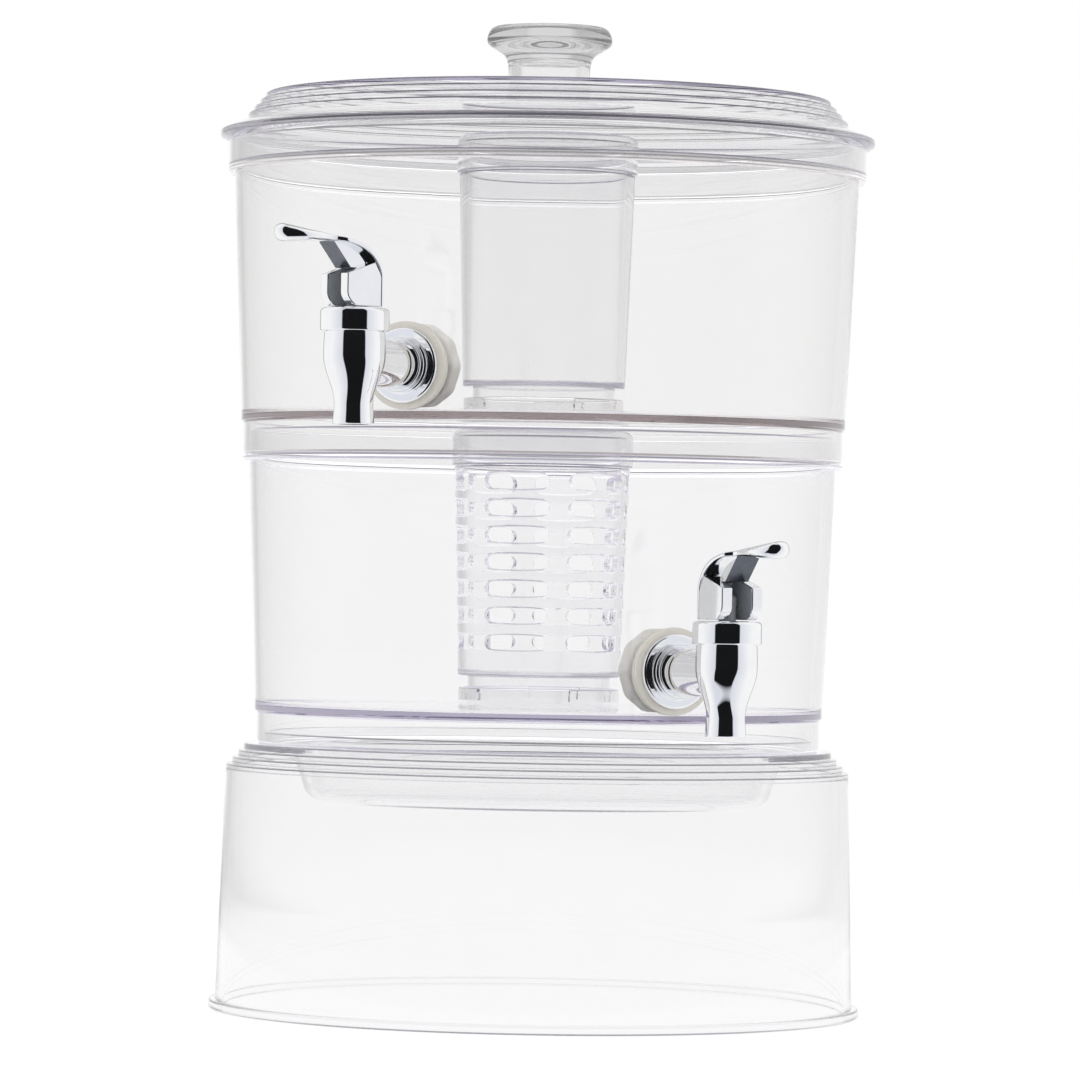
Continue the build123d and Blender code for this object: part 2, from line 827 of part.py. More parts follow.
def build_lever(level):
    crown = level.offset(bonnet_top)
    side = upright(crown)
    half = lever_width / 2
    web_foot = (lever_web_foot_reach, cheek_rise(lever_web_foot_reach))
    web_top = (lever_web_top_reach, hood_rise - hood_thickness)
    tip = (paddle_tip_reach, paddle_tip_rise)
    lip = (paddle_lip_reach, paddle_lip_rise)
    spine = (-lever_back_reach, lever_spine_rise)
    with BuildPart() as lever:
        with BuildSketch(side.offset(-half)):
            with BuildLine():
                Polyline(spine, (-lever_back_reach, lever_gap), (lever_toe_reach, lever_gap))
                TangentArc(
                    (lever_nose_reach, lever_nose_low),
                    (lever_toe_reach, lever_gap),
                    tangent=(0, -1),
                )
                Polyline(
                    (lever_nose_reach, lever_nose_low),
                    (lever_nose_reach, lever_nose_rise),
                    web_foot,
                    web_top,
                )
                Spline(web_top, (paddle_hollow_reach, paddle_hollow_rise), lip)
                TangentArc(tip, lip, tangent=(0, -1))
                Spline(
                    tip,
                    (paddle_crest_reach, paddle_crest_rise),
                    (hood_reach, hood_rise),
                    (-brow_setback, brow_rise),
                    spine,
                    tangents=[(0, 1), (-1, -0.15), (-1, -0.22), (-1, -0.75), (0, -1)],
                )
            make_face()
        extrude(amount=lever_width)
        with BuildSketch(crown):
            with BuildLine():
                Polyline(
                    (lever_nose_reach, -half),
                    (-lever_back_reach, -half),
                    (-lever_back_reach, half),
                    (lever_nose_reach, half),
                )
                for flank in (1, -1):
                    Spline(
                        (lever_nose_reach, flank * half),
                        (paddle_neck_reach, flank * paddle_neck_width / 2),
                        (paddle_broad_reach, flank * paddle_width / 2),
                        (paddle_tip_reach + paddle_overrun, 0),
                        tangents=[(1, 0), (1, 0), (1, 0), (0, -flank)],
                    )
            make_face()
        extrude(amount=2 * paddle_crest_rise, mode=Mode.INTERSECT)
        for flank in (1, -1):
            with BuildSketch(side.offset(flank * lever_web_width / 2)):
                with BuildLine():
                    Spline(
                        (-lever_crown_setback, lever_crown_rise),
                        web_top,
                        tangents=[(0.6, 1), (1, 0.2)],
                    )
                    Polyline(web_top, web_foot, (-lever_crown_setback, lever_crown_rise))
                make_face()
            extrude(amount=flank * lever_width, mode=Mode.SUBTRACT)
        with BuildSketch(side):
            with BuildLine():
                slot_back = lever_back_wall - lever_back_reach
                slot_rise = web_foot[1] + lever_slot_over
                slot_front = 2 * lever_nose_reach
                Polyline(
                    (slot_back, 0),
                    (slot_front, 0),
                    (slot_front, slot_rise),
                    (slot_back, slot_rise),
                    close=True,
                )
            make_face()
        extrude(amount=half - lever_cheek, both=True, mode=Mode.SUBTRACT)
        with BuildSketch(side):
            with Locations((0, pin_rise)):
                Circle(pin_radius + run_fit)
        extrude(amount=half - pin_skin, both=True, mode=Mode.SUBTRACT)
    return lever


def save_spigot(side, tier, spigot_azimuth, lever_azimuth):
    """Every piece of one spigot: its shank faces one way and its lever another."""
    shank = spout_frame(tier, spigot_azimuth, spigot_azimuth)
    handle = spout_frame(tier, spigot_azimuth, lever_azimuth)
    save(build_spigot_body(tier, shank), f"{side}_spigot_body")
    save(build_outer_gasket(tier, shank), f"{side}_outer_gasket")
    save(build_inner_gasket(tier, shank), f"{side}_inner_gasket")
    save(build_shank_nut(tier, shank), f"{side}_shank_nut")
    save(build_bonnet(handle), f"{side}_bonnet")
    save(build_valve_stem(handle), f"{side}_valve_stem")
    save(build_seat_plug(handle), f"{side}_seat_plug")
    save(build_return_spring(handle), f"{side}_return_spring")
    save(build_lever_pin(handle), f"{side}_lever_pin")
    save(build_lever(handle), f"{side}_lever")


os.makedirs("parts", exist_ok=True)
save(build_base_stand(), "base_stand")
save(build_tank(lower_tier, lower_spigot_azimuth), "lower_tank")
save(build_tank(upper_tier, upper_spigot_azimuth), "upper_tank")
save(build_lid(), "lid")
save(build_lid_knob(), "lid_knob")
save(build_tube(upper_tier, slotted=False), "chiller_tube")
save(build_cap(upper_tier), "chiller_cap")
save(build_tube(lower_tier, slotted=True), "infuser_basket")
save(build_cap(lower_tier), "infuser_cap")
save_spigot("upper", upper_tier, upper_spigot_azimuth, upper_lever_azimuth)
save_spigot("lower", lower_tier, lower_spigot_azimuth, lower_lever_azimuth)
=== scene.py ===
"""Two-tier drink dispenser: clear stacking tanks on a stand, with capped tubes and chrome lever spigots.

Laid out as an add-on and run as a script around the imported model. Metres, +Z up, front towards -Y.
"""

import json
import math

import bpy
from bpy.props import FloatProperty, FloatVectorProperty, IntProperty, PointerProperty
from bpy.types import Operator, Panel, PropertyGroup
from mathutils import Matrix, Vector


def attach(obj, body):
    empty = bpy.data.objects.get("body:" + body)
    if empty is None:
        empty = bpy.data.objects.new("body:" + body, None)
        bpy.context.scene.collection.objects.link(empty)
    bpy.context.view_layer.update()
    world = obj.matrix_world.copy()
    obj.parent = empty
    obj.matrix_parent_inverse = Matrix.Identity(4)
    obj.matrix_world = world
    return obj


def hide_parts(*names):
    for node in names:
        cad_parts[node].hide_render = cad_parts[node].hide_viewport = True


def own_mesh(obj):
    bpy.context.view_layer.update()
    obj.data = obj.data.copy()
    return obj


bl_info = {
    "name": "Two-Tier Drink Dispenser",
    "version": (1, 0, 0),
    "blender": (4, 5, 0),
    "location": "View3D > Sidebar > Dispenser",
    "description": "Models the clear shells, tubes and chrome spigots of a stacking drink dispenser",
    "category": "Object",
}

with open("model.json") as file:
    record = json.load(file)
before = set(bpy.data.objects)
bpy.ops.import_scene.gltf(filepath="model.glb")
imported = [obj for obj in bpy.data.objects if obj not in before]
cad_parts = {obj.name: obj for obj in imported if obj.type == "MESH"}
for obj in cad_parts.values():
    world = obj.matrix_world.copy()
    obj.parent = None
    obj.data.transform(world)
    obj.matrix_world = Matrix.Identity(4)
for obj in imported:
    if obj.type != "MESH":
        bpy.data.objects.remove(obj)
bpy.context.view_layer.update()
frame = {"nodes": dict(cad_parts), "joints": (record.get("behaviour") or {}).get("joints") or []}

MM = 0.001
TIERS = ("lower", "upper")
# Each tube's tank, body and node.
TUBES = (("upper", "chiller", "chiller_tube"), ("lower", "infuser", "infuser_basket"))

# Angles up to which a mesh is smoothed, how near points merge, and the run held beside a round.
SMOOTH_ANGLE = math.radians(28)
CRISP_ANGLE = math.radians(34)
WELD = 2e-7
HOLD = 0.25

# Faces with a finish of their own: narrow rounds that look outward and slot walls, with painted shade and
# painted glow, and the lever's slot and web front, with painted shade.
EDGE_BAND = 0.45 * MM
EDGE_LOOK = 0.1
SLOT_LOOK = 0.5
WEB_FRONT = 0.5
WEB_UNDER = -0.3
LEVER_FINISHES = ("chrome_plate", "lever_recess", "lever_web")

# A slot cutter's length in walls, a cheek's lift in gaps, and the web's bite in thicknesses of the hood.
SLOT_REACH = 6
FOOT_LIFT = 0.125
HOOD_BITE = 0.25

# Steps along rounds and curves.
ARC_STEPS = 6
CURVE_STEPS = 12
KNOB_STEPS = (12, 10, 14)
BELL_STEPS = 14
TOE_STEPS = 8
LUG_STEPS = 10
SLOT_END_STEPS = 12

# Relief of a moulded grain, how deep light goes into nylon, and the part of the noise that counts.
FINE = 0.03 * MM
SOFT_RADII = (4 * MM, 3 * MM, 2 * MM)
GRAIN_BAND = (0.3, 0.7)
DRIFT_BAND = (0.35, 0.7)
FINER = 6.0

# The clear finishes' grain and drift, and the body colour and painted edge glow that some of them share.
CLEAR_GRAIN = (60.0, 0.0, 0.003)
CLEAR_DRIFT = (0.99, 0.5)
BODIES = {"lower": "violet", "upper": "grey", "lid": "violet", "tube": "violet"}
GLOWS = {"lower": "tank", "upper": "tank"}

# Bounces and layers that light needs through the stacked walls, and where the ground's parts end.
BOUNCES = 128
LAYERS = 64
APRON_FADE = 1.25
NEAR_FADE = 2.0


def length(text, millimetres):
    """A size in the sidebar, given in millimetres."""
    metres = millimetres * MM
    return FloatProperty(description=text, default=metres, precision=5, subtype="DISTANCE", unit="LENGTH")


def turn(text, degrees):
    """An angle in the sidebar, given in degrees."""
    angle = math.radians(degrees)
    return FloatProperty(description=text, default=angle, subtype="ANGLE", unit="ROTATION")


def count(text, number):
    """A whole number in the sidebar."""
    return IntProperty(description=text, default=number, min=1)


def tint(text, *parts):
    """A colour in the sidebar."""
    colour = (*parts, 1.0)
    return FloatVectorProperty(description=text, default=colour, min=0.0, max=1.0, size=4, subtype="COLOR")


def amount(text, number):
    """A plain factor in the sidebar."""
    return FloatProperty(description=text, default=number, precision=4)


def labelled(group):
    """Name every setting of a group after its own key."""
    for key, setting in group.__annotations__.items():
        setting.keywords["name"] = key.replace("_", " ").capitalize()
    return group


@labelled
class ShellSizes(PropertyGroup):
    """Sizes of the stand, the tanks and the lid."""

    steps: count("Steps around a turned clear piece", 224)
    wall: length("Thickness of the moulded walls", 2.6)
    floor: length("Thickness of a tank's floor", 3.0)
    slip: length("Room between a skirt and the rim inside it", 0.35)
    joint: length("Hairline left open where two clear faces meet", 0.08)
    soft_edge: length("Round of the moulded edges", 0.8)
    rim_room: length("Room over a locating rim", 3.0)
    tank_height: length("From a tank's seat to the top of its flange", 125.0)
    lower_skirt: length("Outside radius of the lower skirt", 122.4)
    lower_skirt_height: length("From the seat to the floor's underside", 13.6)
    lower_flare: length("How much wider the upper skirt is", 8.0)
    upper_skirt_height: length("From the seat to the floor's underside", 14.0)
    upper_flare: length("How much wider the lid's skirt is", 8.4)
    floor_step: length("Small step outward where the wall starts", 0.9)
    floor_round: length("Round inside the floor's corner", 2.0)
    flange_ledge: length("How far a flange shows past the skirt on it", 0.3)
    flange: length("Thickness of a flange", 2.8)
    ring_run: length("Width of the stepped shoulder", 10.2)
    ring_rise: length("Height of the stepped shoulder", 11.9)
    rings: count("Steps in the shoulder", 4)
    ring_edge: length("Round on each step of the shoulder", 0.55)
    base_height: length("Height of the stand", 115.0)
    base_ledge: length("Flat beside the lower skirt", 2.8)
    base_taper: length("How much the stand widens to its foot", 3.0)
    bead_reach: length("How far the foot's bead stands out", 2.9)
    bead_height: length("Height of the foot's bead", 4.0)
    base_rim: length("Height of the rim that locates the lower tank", 5.2)
    well_inset: length("From the rim to the mouth of the well", 12.25)
    well_slope: length("How much the well narrows", 7.6)
    well_depth: length("Depth of the well", 22.0)
    well_round: length("Round at the bottom of the well", 6.0)
    lid_skirt_height: length("From the lid's seat to its lip", 11.0)
    lip_reach: length("How far the lid's lip stands out", 3.6)
    lip_rise: length("Slope under the lip", 2.2)
    lip: length("Thickness of the lip", 2.4)
    lid_inset: length("From the skirt in to the stepped shoulder", 8.1)
    lid_roof: length("Thickness of the lid's roof and shoulder", 1.7)
    lid_shoulder: length("From the lid's seat to its stepped shoulder", 20.0)


@labelled
class KnobSizes(PropertyGroup):
    """Sizes of the lid's knob."""

    height: length("Height over the lid", 31.3)
    neck: length("Radius of the neck", 17.8)
    foot_reach: length("How far the foot stands out", 1.8)
    neck_height: length("Height of the narrowest part", 8.0)
    throat_height: length("Height where the head starts to flare", 17.0)
    throat_reach: length("How much wider the throat is than the neck", 0.8)
    head_reach: length("How far the head stands out past the neck", 9.5)
    head_drop: length("From the top to the widest part", 5.7)
    rim_inset: length("From the widest part in to the top edge", 3.9)
    dish: length("Depth of the dish in the top", 3.0)
    core_wall: length("Thickness of the neck's wall", 3.5)
    core_height: length("Height of the hollow inside", 17.5)
    core_round: length("Round at the top of the hollow", 3.0)
    seat: length("Depth of the recess in the lid", 1.0)


@labelled
class TubeSizes(PropertyGroup):
    """Sizes of the tubes, their caps and their sockets."""

    steps: count("Steps around a tube", 144)
    chiller_height: length("From the upper floor to the chiller cap's top", 123.3)
    head_room: length("Room over the infuser's cap", 1.2)
    wall: length("Thickness of a tube", 2.0)
    bottom: length("Outside radius at the bottom", 35.3)
    flare: length("How much wider the top is", 3.0)
    foot_inset: length("From the bottom's edge in to the foot", 4.3)
    foot_gap: length("Room under the foot", 0.3)
    socket_wall: length("Thickness of the socket", 2.35)
    socket_height: length("Height of the socket", 9.3)
    socket_gap: length("From the socket's top to the tube's bottom", 4.9)
    cap_overhang: length("How much wider the cap is than the tube", 1.1)
    cap_height: length("Height of a cap", 14.8)
    cap_wall: length("Thickness of a cap", 2.0)
    cap_round: length("Round of a cap's top edge", 4.0)
    cap_room: length("Room over the tube's neck", 1.2)
    lugs: count("Lugs on a foot", 3)
    lug_spread: turn("Angle of one lug", 44.0)
    lug_reach: length("How far a lug stands out", 1.3)
    lug_height: length("Height of a lug", 3.0)
    lug_lift: length("From the floor to a lug", 3.8)
    tab_height: length("Height of a tab in the socket", 1.8)
    columns: count("Columns of slots round the basket", 6)
    rows: count("Slots in a column", 7)
    slot_length: length("Length of a slot", 27.5)
    slot_height: length("Height of a slot", 5.7)
    slot_draft: length("How much a slot widens at each side through the wall", 0.45)
    slot_low: length("From the basket's bottom to the first row", 14.9)
    slot_high: length("From the last row to the shoulder", 6.7)
    slot_turn: turn("Turn of the first column from the front", -18.0)


@labelled
class SpigotSizes(PropertyGroup):
    """Sizes of the spouts, their bonnets and their fixings, about the shank's axis."""

    steps: count("Steps around a turned chrome piece", 96)
    reach: length("From the tank's wall to the spout's axis", 47.5)
    shank: length("Radius of the shank", 10.0)
    shank_step: length("Small step up towards the flange", 0.5)
    step_length: length("Length of the stepped part", 8.0)
    collar_reach: length("How far the collar stands out", 1.3)
    collar: length("Length of the collar", 3.4)
    flange_reach: length("How far the flange stands out", 3.95)
    flange: length("Thickness of the flange", 2.6)
    gasket: length("Thickness of the outer gasket", 2.2)
    tail: length("Radius of the shank's tail", 8.0)
    tail_end: length("How far the tail runs in past the wall", 17.3)
    bore: length("Radius of the bore through the shank", 5.0)
    edge: length("Round of the chrome edges", 0.6)
    moulded_edge: length("Round of the gaskets' edges", 0.4)
    nut_edge: length("Round of the nuts' edges", 2.2)
    bell: length("Radius at the top of the bell", 12.5)
    bell_swell: length("How much the bell swells to its belly", 0.3)
    belly_drop: length("From the bell's top down to its belly", 9.9)
    waist: length("Radius of the bell's waist", 8.05)
    waist_drop: length("From the bell's top down to its waist", 29.3)
    outlet_flare: length("How much the outlet opens below the waist", 0.65)
    outlet_height: length("From the waist down to the outlet", 8.5)
    outlet_bore: length("Radius inside the outlet", 6.4)
    bonnet_seat: length("From the shank's axis up to the bonnet", 11.9)
    bonnet: length("Radius of the bonnet", 14.3)
    bonnet_height: length("Height of the bonnet", 9.9)
    bonnet_bore: length("Radius inside the bonnet", 11.95)
    bonnet_plate: length("Thickness of the bonnet's top", 2.5)
    bonnet_round: length("Round of the bonnet's top edge", 1.9)
    stem_hole: length("Radius of the hole for the stem", 3.68)
    joint: length("Line under the bonnet", 0.3)
    neck: length("Radius of the neck inside the bonnet", 11.6)
    neck_height: length("Height of the neck", 6.0)
    chamber: length("Radius of the chamber", 9.4)
    valve_drop: length("From the shank's axis down to the valve's seat", 7.0)
    valve_bore: length("Radius of the hole in the valve's seat", 5.2)
    valve_lip: length("Thickness of the valve's seat", 2.5)
    pin_rise: length("From the bonnet's top up to the lever's pin", 7.0)


@labelled
class LeverSizes(PropertyGroup):
    """Sizes of a lever, outward from the stem and up from the bonnet's top."""

    sides: count("Sides of the blade's section", 56)
    width: length("Width over the hood", 20.8)
    brim: length("How far the hood stands out past the cheeks", 0.2)
    cheek: length("From the hood's side in to the slot", 5.5)
    gap: length("Room under the lever", 0.4)
    back: length("Reach of the back", 7.4)
    back_wall: length("Thickness of the back", 2.0)
    spine: length("Height where the back starts to curve", 12.0)
    toe: length("Reach of the toe", 6.2)
    nose: length("Reach of the cheeks' front", 10.6)
    nose_low: length("Height where the toe's round ends", 6.0)
    nose_rise: length("Height of the cheeks' front", 13.6)
    crown_setback: length("Reach behind the stem of the cheeks' top", 2.0)
    crown_rise: length("Height of the cheeks' top", 18.0)
    slot_over: length("How far the slot runs up past the web's foot", 0.8)
    web: length("Width of the web", 11.4)
    web_foot: length("Reach of the web's foot", 5.6)
    web_top: length("Reach of the web's top", 14.2)
    brow_setback: length("Reach behind the stem of the hood's brow", 1.2)
    brow_rise: length("Height of the hood's brow", 23.7)
    hood_reach: length("Reach of the hood's shoulder", 12.0)
    hood_rise: length("Height of the hood's shoulder", 28.5)
    hood: length("Thickness of the hood", 2.4)
    neck_reach: length("Reach of the paddle's neck", 15.0)
    neck: length("Width of the paddle's neck", 14.0)
    broad_reach: length("Reach of the paddle's broadest part", 26.5)
    paddle: length("Width of the paddle", 16.5)
    crest_reach: length("Reach of the paddle's crest", 36.0)
    crest_rise: length("Height of the paddle's crest", 32.9)
    tip_reach: length("Reach of the paddle's tip", 39.0)
    tip_rise: length("Height of the paddle's tip", 30.0)
    lip_reach: length("Reach of the lip under the tip", 35.6)
    lip_rise: length("Height of the lip under the tip", 25.7)
    paddle_square: amount("How square the paddle's section is; 2 is an ellipse", 2.3)
    hood_square: amount("How square the hood's section is", 5.5)
    edge: length("Round of the cheeks' edges", 0.45)


@labelled
class FinishColours(PropertyGroup):
    """Colours and strengths of the finishes."""

    clear_ior: amount("How strongly the clear plastic bends light", 1.49)
    stand_tint: tint("Tint of the stand's surface", 0.978, 0.978, 0.980)
    lower_tint: tint("Tint of the lower tank's surface", 0.982, 0.982, 0.984)
    upper_tint: tint("Tint of the upper tank's surface", 0.975, 0.975, 0.974)
    lid_tint: tint("Tint of the lid's surface", 0.955, 0.955, 0.957)
    knob_tint: tint("Tint of the knob's surface", 0.965, 0.965, 0.965)
    tube_tint: tint("Tint of the tubes and caps", 0.99, 0.99, 0.992)
    # Painted edge shade and glow: a share of this tint darkens the narrow rounds, and each glow is emission
    # that paints light on those edges, though they are no lamp.
    edge_tint: tint("Tint of the moulded edges", 0.99, 0.985, 1.0)
    stand_edge: amount("How much of that tint the stand's edges keep", 0.85)
    lower_edge: amount("How much of it the lower tank's edges keep", 0.95)
    upper_edge: amount("How much of it the upper tank's edges keep", 0.95)
    lid_edge: amount("How much of it the lid's edges keep", 0.58)
    tube_edge: amount("How much of it the tubes' edges keep", 0.75)
    stand_glow: amount("Light that the stand's edges pipe out", 0.1)
    tank_glow: amount("Light that the tanks' edges pipe out", 0.24)
    lid_glow: amount("Light that the lid's edges pipe out", 0.06)
    tube_glow: amount("Light that the tubes' edges pipe out", 0.1)
    stand_body: tint("Colour that a long way through the stand takes", 0.72, 0.712, 0.745)
    violet_body: tint("Colour that a long way through the other clear pieces takes", 0.74, 0.715, 0.80)
    knob_body: tint("Colour that a long way through the knob takes", 0.48, 0.48, 0.49)
    grey_body: tint("Colour that a long way through the upper tank takes", 0.63, 0.57, 0.58)
    body_density: amount("How soon the plastic's body colour shows", 12.0)
    chrome: tint("Colour of the chrome plate", 0.93, 0.935, 0.945)
    # Painted shade: the lever's slot and the front of its web get dark colours for the shade that falls
    # between its cheeks and under its hood.
    recess: tint("Colour of the lever's slot", 0.30, 0.32, 0.345)
    web: tint("Colour of the front of the lever's web", 0.13, 0.14, 0.165)
    nylon: tint("Colour of the nuts", 0.95, 0.925, 0.87)
    silicone: tint("Colour of the gaskets", 0.62, 0.595, 0.545)
    stem: tint("Colour of the stems", 0.2, 0.21, 0.22)
    plug: tint("Colour of the plugs", 0.06, 0.06, 0.065)
    steel: tint("Colour of the springs and pins", 0.58, 0.58, 0.59)


@labelled
class StageSettings(PropertyGroup):
    """The camera, the light and the ground."""

    distance: length("From the dispenser's axis to the camera", 2635.0)
    eye: length("Height of the camera", 190.0)
    aim: length("Height of the middle of the picture", 205.0)
    aside: length("Shift of the picture's middle", -0.5)
    roll: turn("Roll of the camera", 1.0)
    lens: FloatProperty(description="Focal length", default=201.7, unit="CAMERA")
    sensor: FloatProperty(description="Sensor width", default=36.0, unit="CAMERA")
    ground_size: length("Side of the white ground", 30000.0)
    ground_drop: length("Ground under the foot", 0.2)
    mirrors: length("How far in front of the axis the spigots stand", 165.0)
    apron: length("How far the white ground runs out in front of them", 150.0)
    near: length("How far out the ground stays white through clear plastic", 600.0)
    ground_glow: amount("Share of the ground that shows plain white", 0.9)
    ground_white: amount("Strength of that white", 1.03)
    gap_half: turn("Half the dark gap in the white tent, in front", 42.0)
    gap_soft: turn("Soft edge of the gap", 2.0)
    fade: turn("How far round the tent's cool shade reaches past the gap", 46.0)
    rear_start: turn("Where the tent starts to darken towards the back", 146.0)
    rear_end: turn("Where the tent is darkest towards the back", 158.0)
    rear: amount("Brightness of the tent at the back, in mirrors", 0.42)
    ceiling_low: amount("Rise at which the tent's roof starts over the gap", 0.80)
    ceiling_high: amount("Rise at which the tent's roof is full", 0.92)
    cool: tint("Shade of the tent beside the gap", 0.74, 0.76, 0.83)
    white: tint("Shade of the tent elsewhere", 0.98, 0.98, 0.98)
    dark: amount("Brightness of the gap in mirrors", 0.012)
    clear_dark: amount("Brightness of the front seen through clear plastic", 0.62)
    dim_start: turn("Where that front starts to change to the sides", 60.0)
    dim_end: turn("Where the sides start", 105.0)
    clear_left: amount("Brightness of the left side seen through clear plastic", 0.68)
    clear_right: amount("Brightness of the right side seen through it", 0.86)
    side_soft: amount("How softly the left side turns into the right one", 0.2)
    back_start: turn("Where the sides start to brighten towards the back", 148.0)
    back_end: turn("Where the back is white", 170.0)
    ambient: amount("Brightness of the tent for matt surfaces", 1.0)
    lamp_height: length("Height of the lamp overhead", 1700.0)
    lamp_side: length("Reach of the lamps at the sides", 1600.0)
    lamp_front: length("How far the lamps stand to the front", 450.0)
    lamp_level: length("Height of the lamps at the sides", 600.0)
    lamp_width: length("Width of a lamp", 1000.0)
    over_watts: amount("Strength of the lamp overhead", 9.0)
    side_watts: amount("Strength of each lamp at the sides", 6.0)


GROUPS = {
    "dispenser_shell": ShellSizes,
    "dispenser_knob": KnobSizes,
    "dispenser_tube": TubeSizes,
    "dispenser_spigot": SpigotSizes,
    "dispenser_lever": LeverSizes,
    "dispenser_finish": FinishColours,
    "dispenser_stage": StageSettings,
}


def settings(name):
    """One group of settings from the sidebar."""
    return getattr(bpy.context.scene, f"dispenser_{name}")


def unit(vector):
    """A plane vector of length one."""
    size = math.hypot(*vector)
    return vector[0] / size, vector[1] / size


def soften(corners, steps=ARC_STEPS):
    """A chain of points. A corner with a third number is rounded to that radius, and held on both sides."""
    chain = []
    for index, corner in enumerate(corners):
        here = corner[:2]
        if len(corner) == 2:
            chain.append(here)
            continue
        before = unit([a - b for a, b in zip(corners[index - 1], here)])
        after = unit([a - b for a, b in zip(corners[(index + 1) % len(corners)], here)])
        half = math.acos(max(-1.0, min(1.0, before[0] * after[0] + before[1] * after[1]))) / 2
        middle = unit([a + b for a, b in zip(before, after)])
        centre = [p + m * corner[2] / math.sin(half) for p, m in zip(here, middle)]
        reach = corner[2] / math.tan(half)
        held = reach + HOLD * corner[2]
        first = [p + d * reach - c for p, d, c in zip(here, before, centre)]
        last = [p + d * reach - c for p, d, c in zip(here, after, centre)]
        sweep = math.pi - 2 * half
        chain.append(tuple(p + d * held for p, d in zip(here, before)))
        for step in range(steps + 1):
            a = math.sin(sweep * (1 - step / steps)) / math.sin(sweep)
            b = math.sin(sweep * step / steps) / math.sin(sweep)
            chain.append(tuple(c + a * f + b * g for c, f, g in zip(centre, first, last)))
        chain.append(tuple(p + d * held for p, d in zip(here, after)))
    return chain


def flowing(points, tangents, steps=CURVE_STEPS):
    """A smooth chain through points, with the direction at each of them given."""
    chain = [points[0]]
    for (start, end), (leave, arrive) in zip(zip(points, points[1:]), zip(tangents, tangents[1:])):
        chord = math.dist(start, end)
        leave = [chord * v for v in unit(leave)]
        arrive = [chord * v for v in unit(arrive)]
        for step in range(1, steps + 1):
            t = step / steps
            weights = (2 * t**3 - 3 * t**2 + 1, t**3 - 2 * t**2 + t, 3 * t**2 - 2 * t**3, t**3 - t**2)
            parts = zip(start, leave, end, arrive)
            chain.append(tuple(sum(w * v for w, v in zip(weights, part)) for part in parts))
    return chain


def only(piece):
    """Make a piece the only one selected."""
    bpy.ops.object.select_all(action="DESELECT")
    piece.select_set(True)
    bpy.context.view_layer.objects.active = piece


def named(piece, name):
    """Give a piece and its mesh a name."""
    piece.name = name
    piece.data.name = name
    return piece


def outline(name, points):
    """A ring of vertices laid on points, ready to be filled or spun."""
    bpy.ops.object.select_all(action="DESELECT")
    bpy.ops.mesh.primitive_circle_add(vertices=len(points), radius=1.0)
    piece = named(bpy.context.object, name)
    for vertex, point in zip(piece.data.vertices, points):
        vertex.co = point
    return piece


def tidy(piece, angle=SMOOTH_ANGLE):
    """Merge what coincides, turn the faces outward and smooth all but the crisp edges."""
    only(piece)
    bpy.ops.object.mode_set(mode="EDIT")
    bpy.ops.mesh.select_all(action="SELECT")
    bpy.ops.mesh.remove_doubles(threshold=WELD)
    bpy.ops.mesh.normals_make_consistent(inside=False)
    bpy.ops.object.mode_set(mode="OBJECT")
    bpy.ops.object.shade_smooth_by_angle(angle=angle)
    return piece


def turned(name, chain, steps, closed=False, sweep=2 * math.pi):
    """A round piece about Z from a half section, which ends on the axis unless it is closed."""
    piece = outline(name, [(radius, 0.0, height) for radius, height in chain])
    closing = {0, len(chain) - 1}
    bpy.ops.object.mode_set(mode="EDIT")
    bpy.ops.mesh.select_mode(type="EDGE")
    if not closed:
        bpy.ops.mesh.select_all(action="DESELECT")
        bpy.ops.object.mode_set(mode="OBJECT")
        for edge in piece.data.edges:
            edge.select = set(edge.vertices) == closing
        bpy.ops.object.mode_set(mode="EDIT")
        bpy.ops.mesh.delete(type="EDGE")
    bpy.ops.mesh.select_all(action="SELECT")
    whole = sweep > 2 * math.pi - WELD
    if not whole:
        bpy.ops.mesh.edge_face_add()
    bpy.ops.mesh.spin(steps=steps, angle=sweep, center=(0, 0, 0), axis=(0, 0, 1), use_auto_merge=whole)
    bpy.ops.object.mode_set(mode="OBJECT")
    return tidy(piece)


def slab(name, points, push, spread=None):
    """A flat outline filled and extruded along a vector, its far end spread when that is given."""
    piece = outline(name, points)
    bpy.ops.object.mode_set(mode="EDIT")
    bpy.ops.mesh.select_all(action="SELECT")
    bpy.ops.mesh.edge_face_add()
    bpy.ops.mesh.extrude_region_move(TRANSFORM_OT_translate={"value": push})
    if spread:
        bpy.ops.transform.resize(value=spread)
    bpy.ops.object.mode_set(mode="OBJECT")
    return tidy(piece)


def moved(piece, place):
    """Put a piece's mesh at a place, leaving its object at the origin."""
    piece.data.transform(place)
    return piece


def worked(piece, tool, operation="DIFFERENCE"):
    """Cut, join or intersect a piece with a tool, which is used up."""
    modifier = piece.modifiers.new(operation.title(), "BOOLEAN")
    modifier.operation = operation
    modifier.solver = "EXACT"
    modifier.object = tool
    only(piece)
    bpy.ops.object.modifier_apply(modifier=modifier.name)
    bpy.data.objects.remove(tool)
    return piece


def bevelled(piece, width, segments=3, clamp=True):
    """Round a piece's crisp edges."""
    edges = piece.modifiers.new("Edges", "BEVEL")
    edges.width = width
    edges.segments = segments
    edges.limit_method = "ANGLE"
    edges.angle_limit = CRISP_ANGLE
    edges.use_clamp_overlap = clamp
    only(piece)
    bpy.ops.object.modifier_apply(modifier=edges.name)
    return piece


def copied(piece, place):
    """A copy of a piece with a mesh of its own, at another place."""
    only(piece)
    bpy.ops.object.duplicate(linked=False)
    return moved(bpy.context.object, place)


def joined(pieces):
    """Several pieces made one."""
    bpy.ops.object.select_all(action="DESELECT")
    for piece in pieces:
        piece.select_set(True)
    bpy.context.view_layer.objects.active = pieces[0]
    bpy.ops.object.join()
    return pieces[0]


def about_z(angle):
    """A turn about the dispenser's axis."""
    return Matrix.Rotation(angle, 4, "Z")


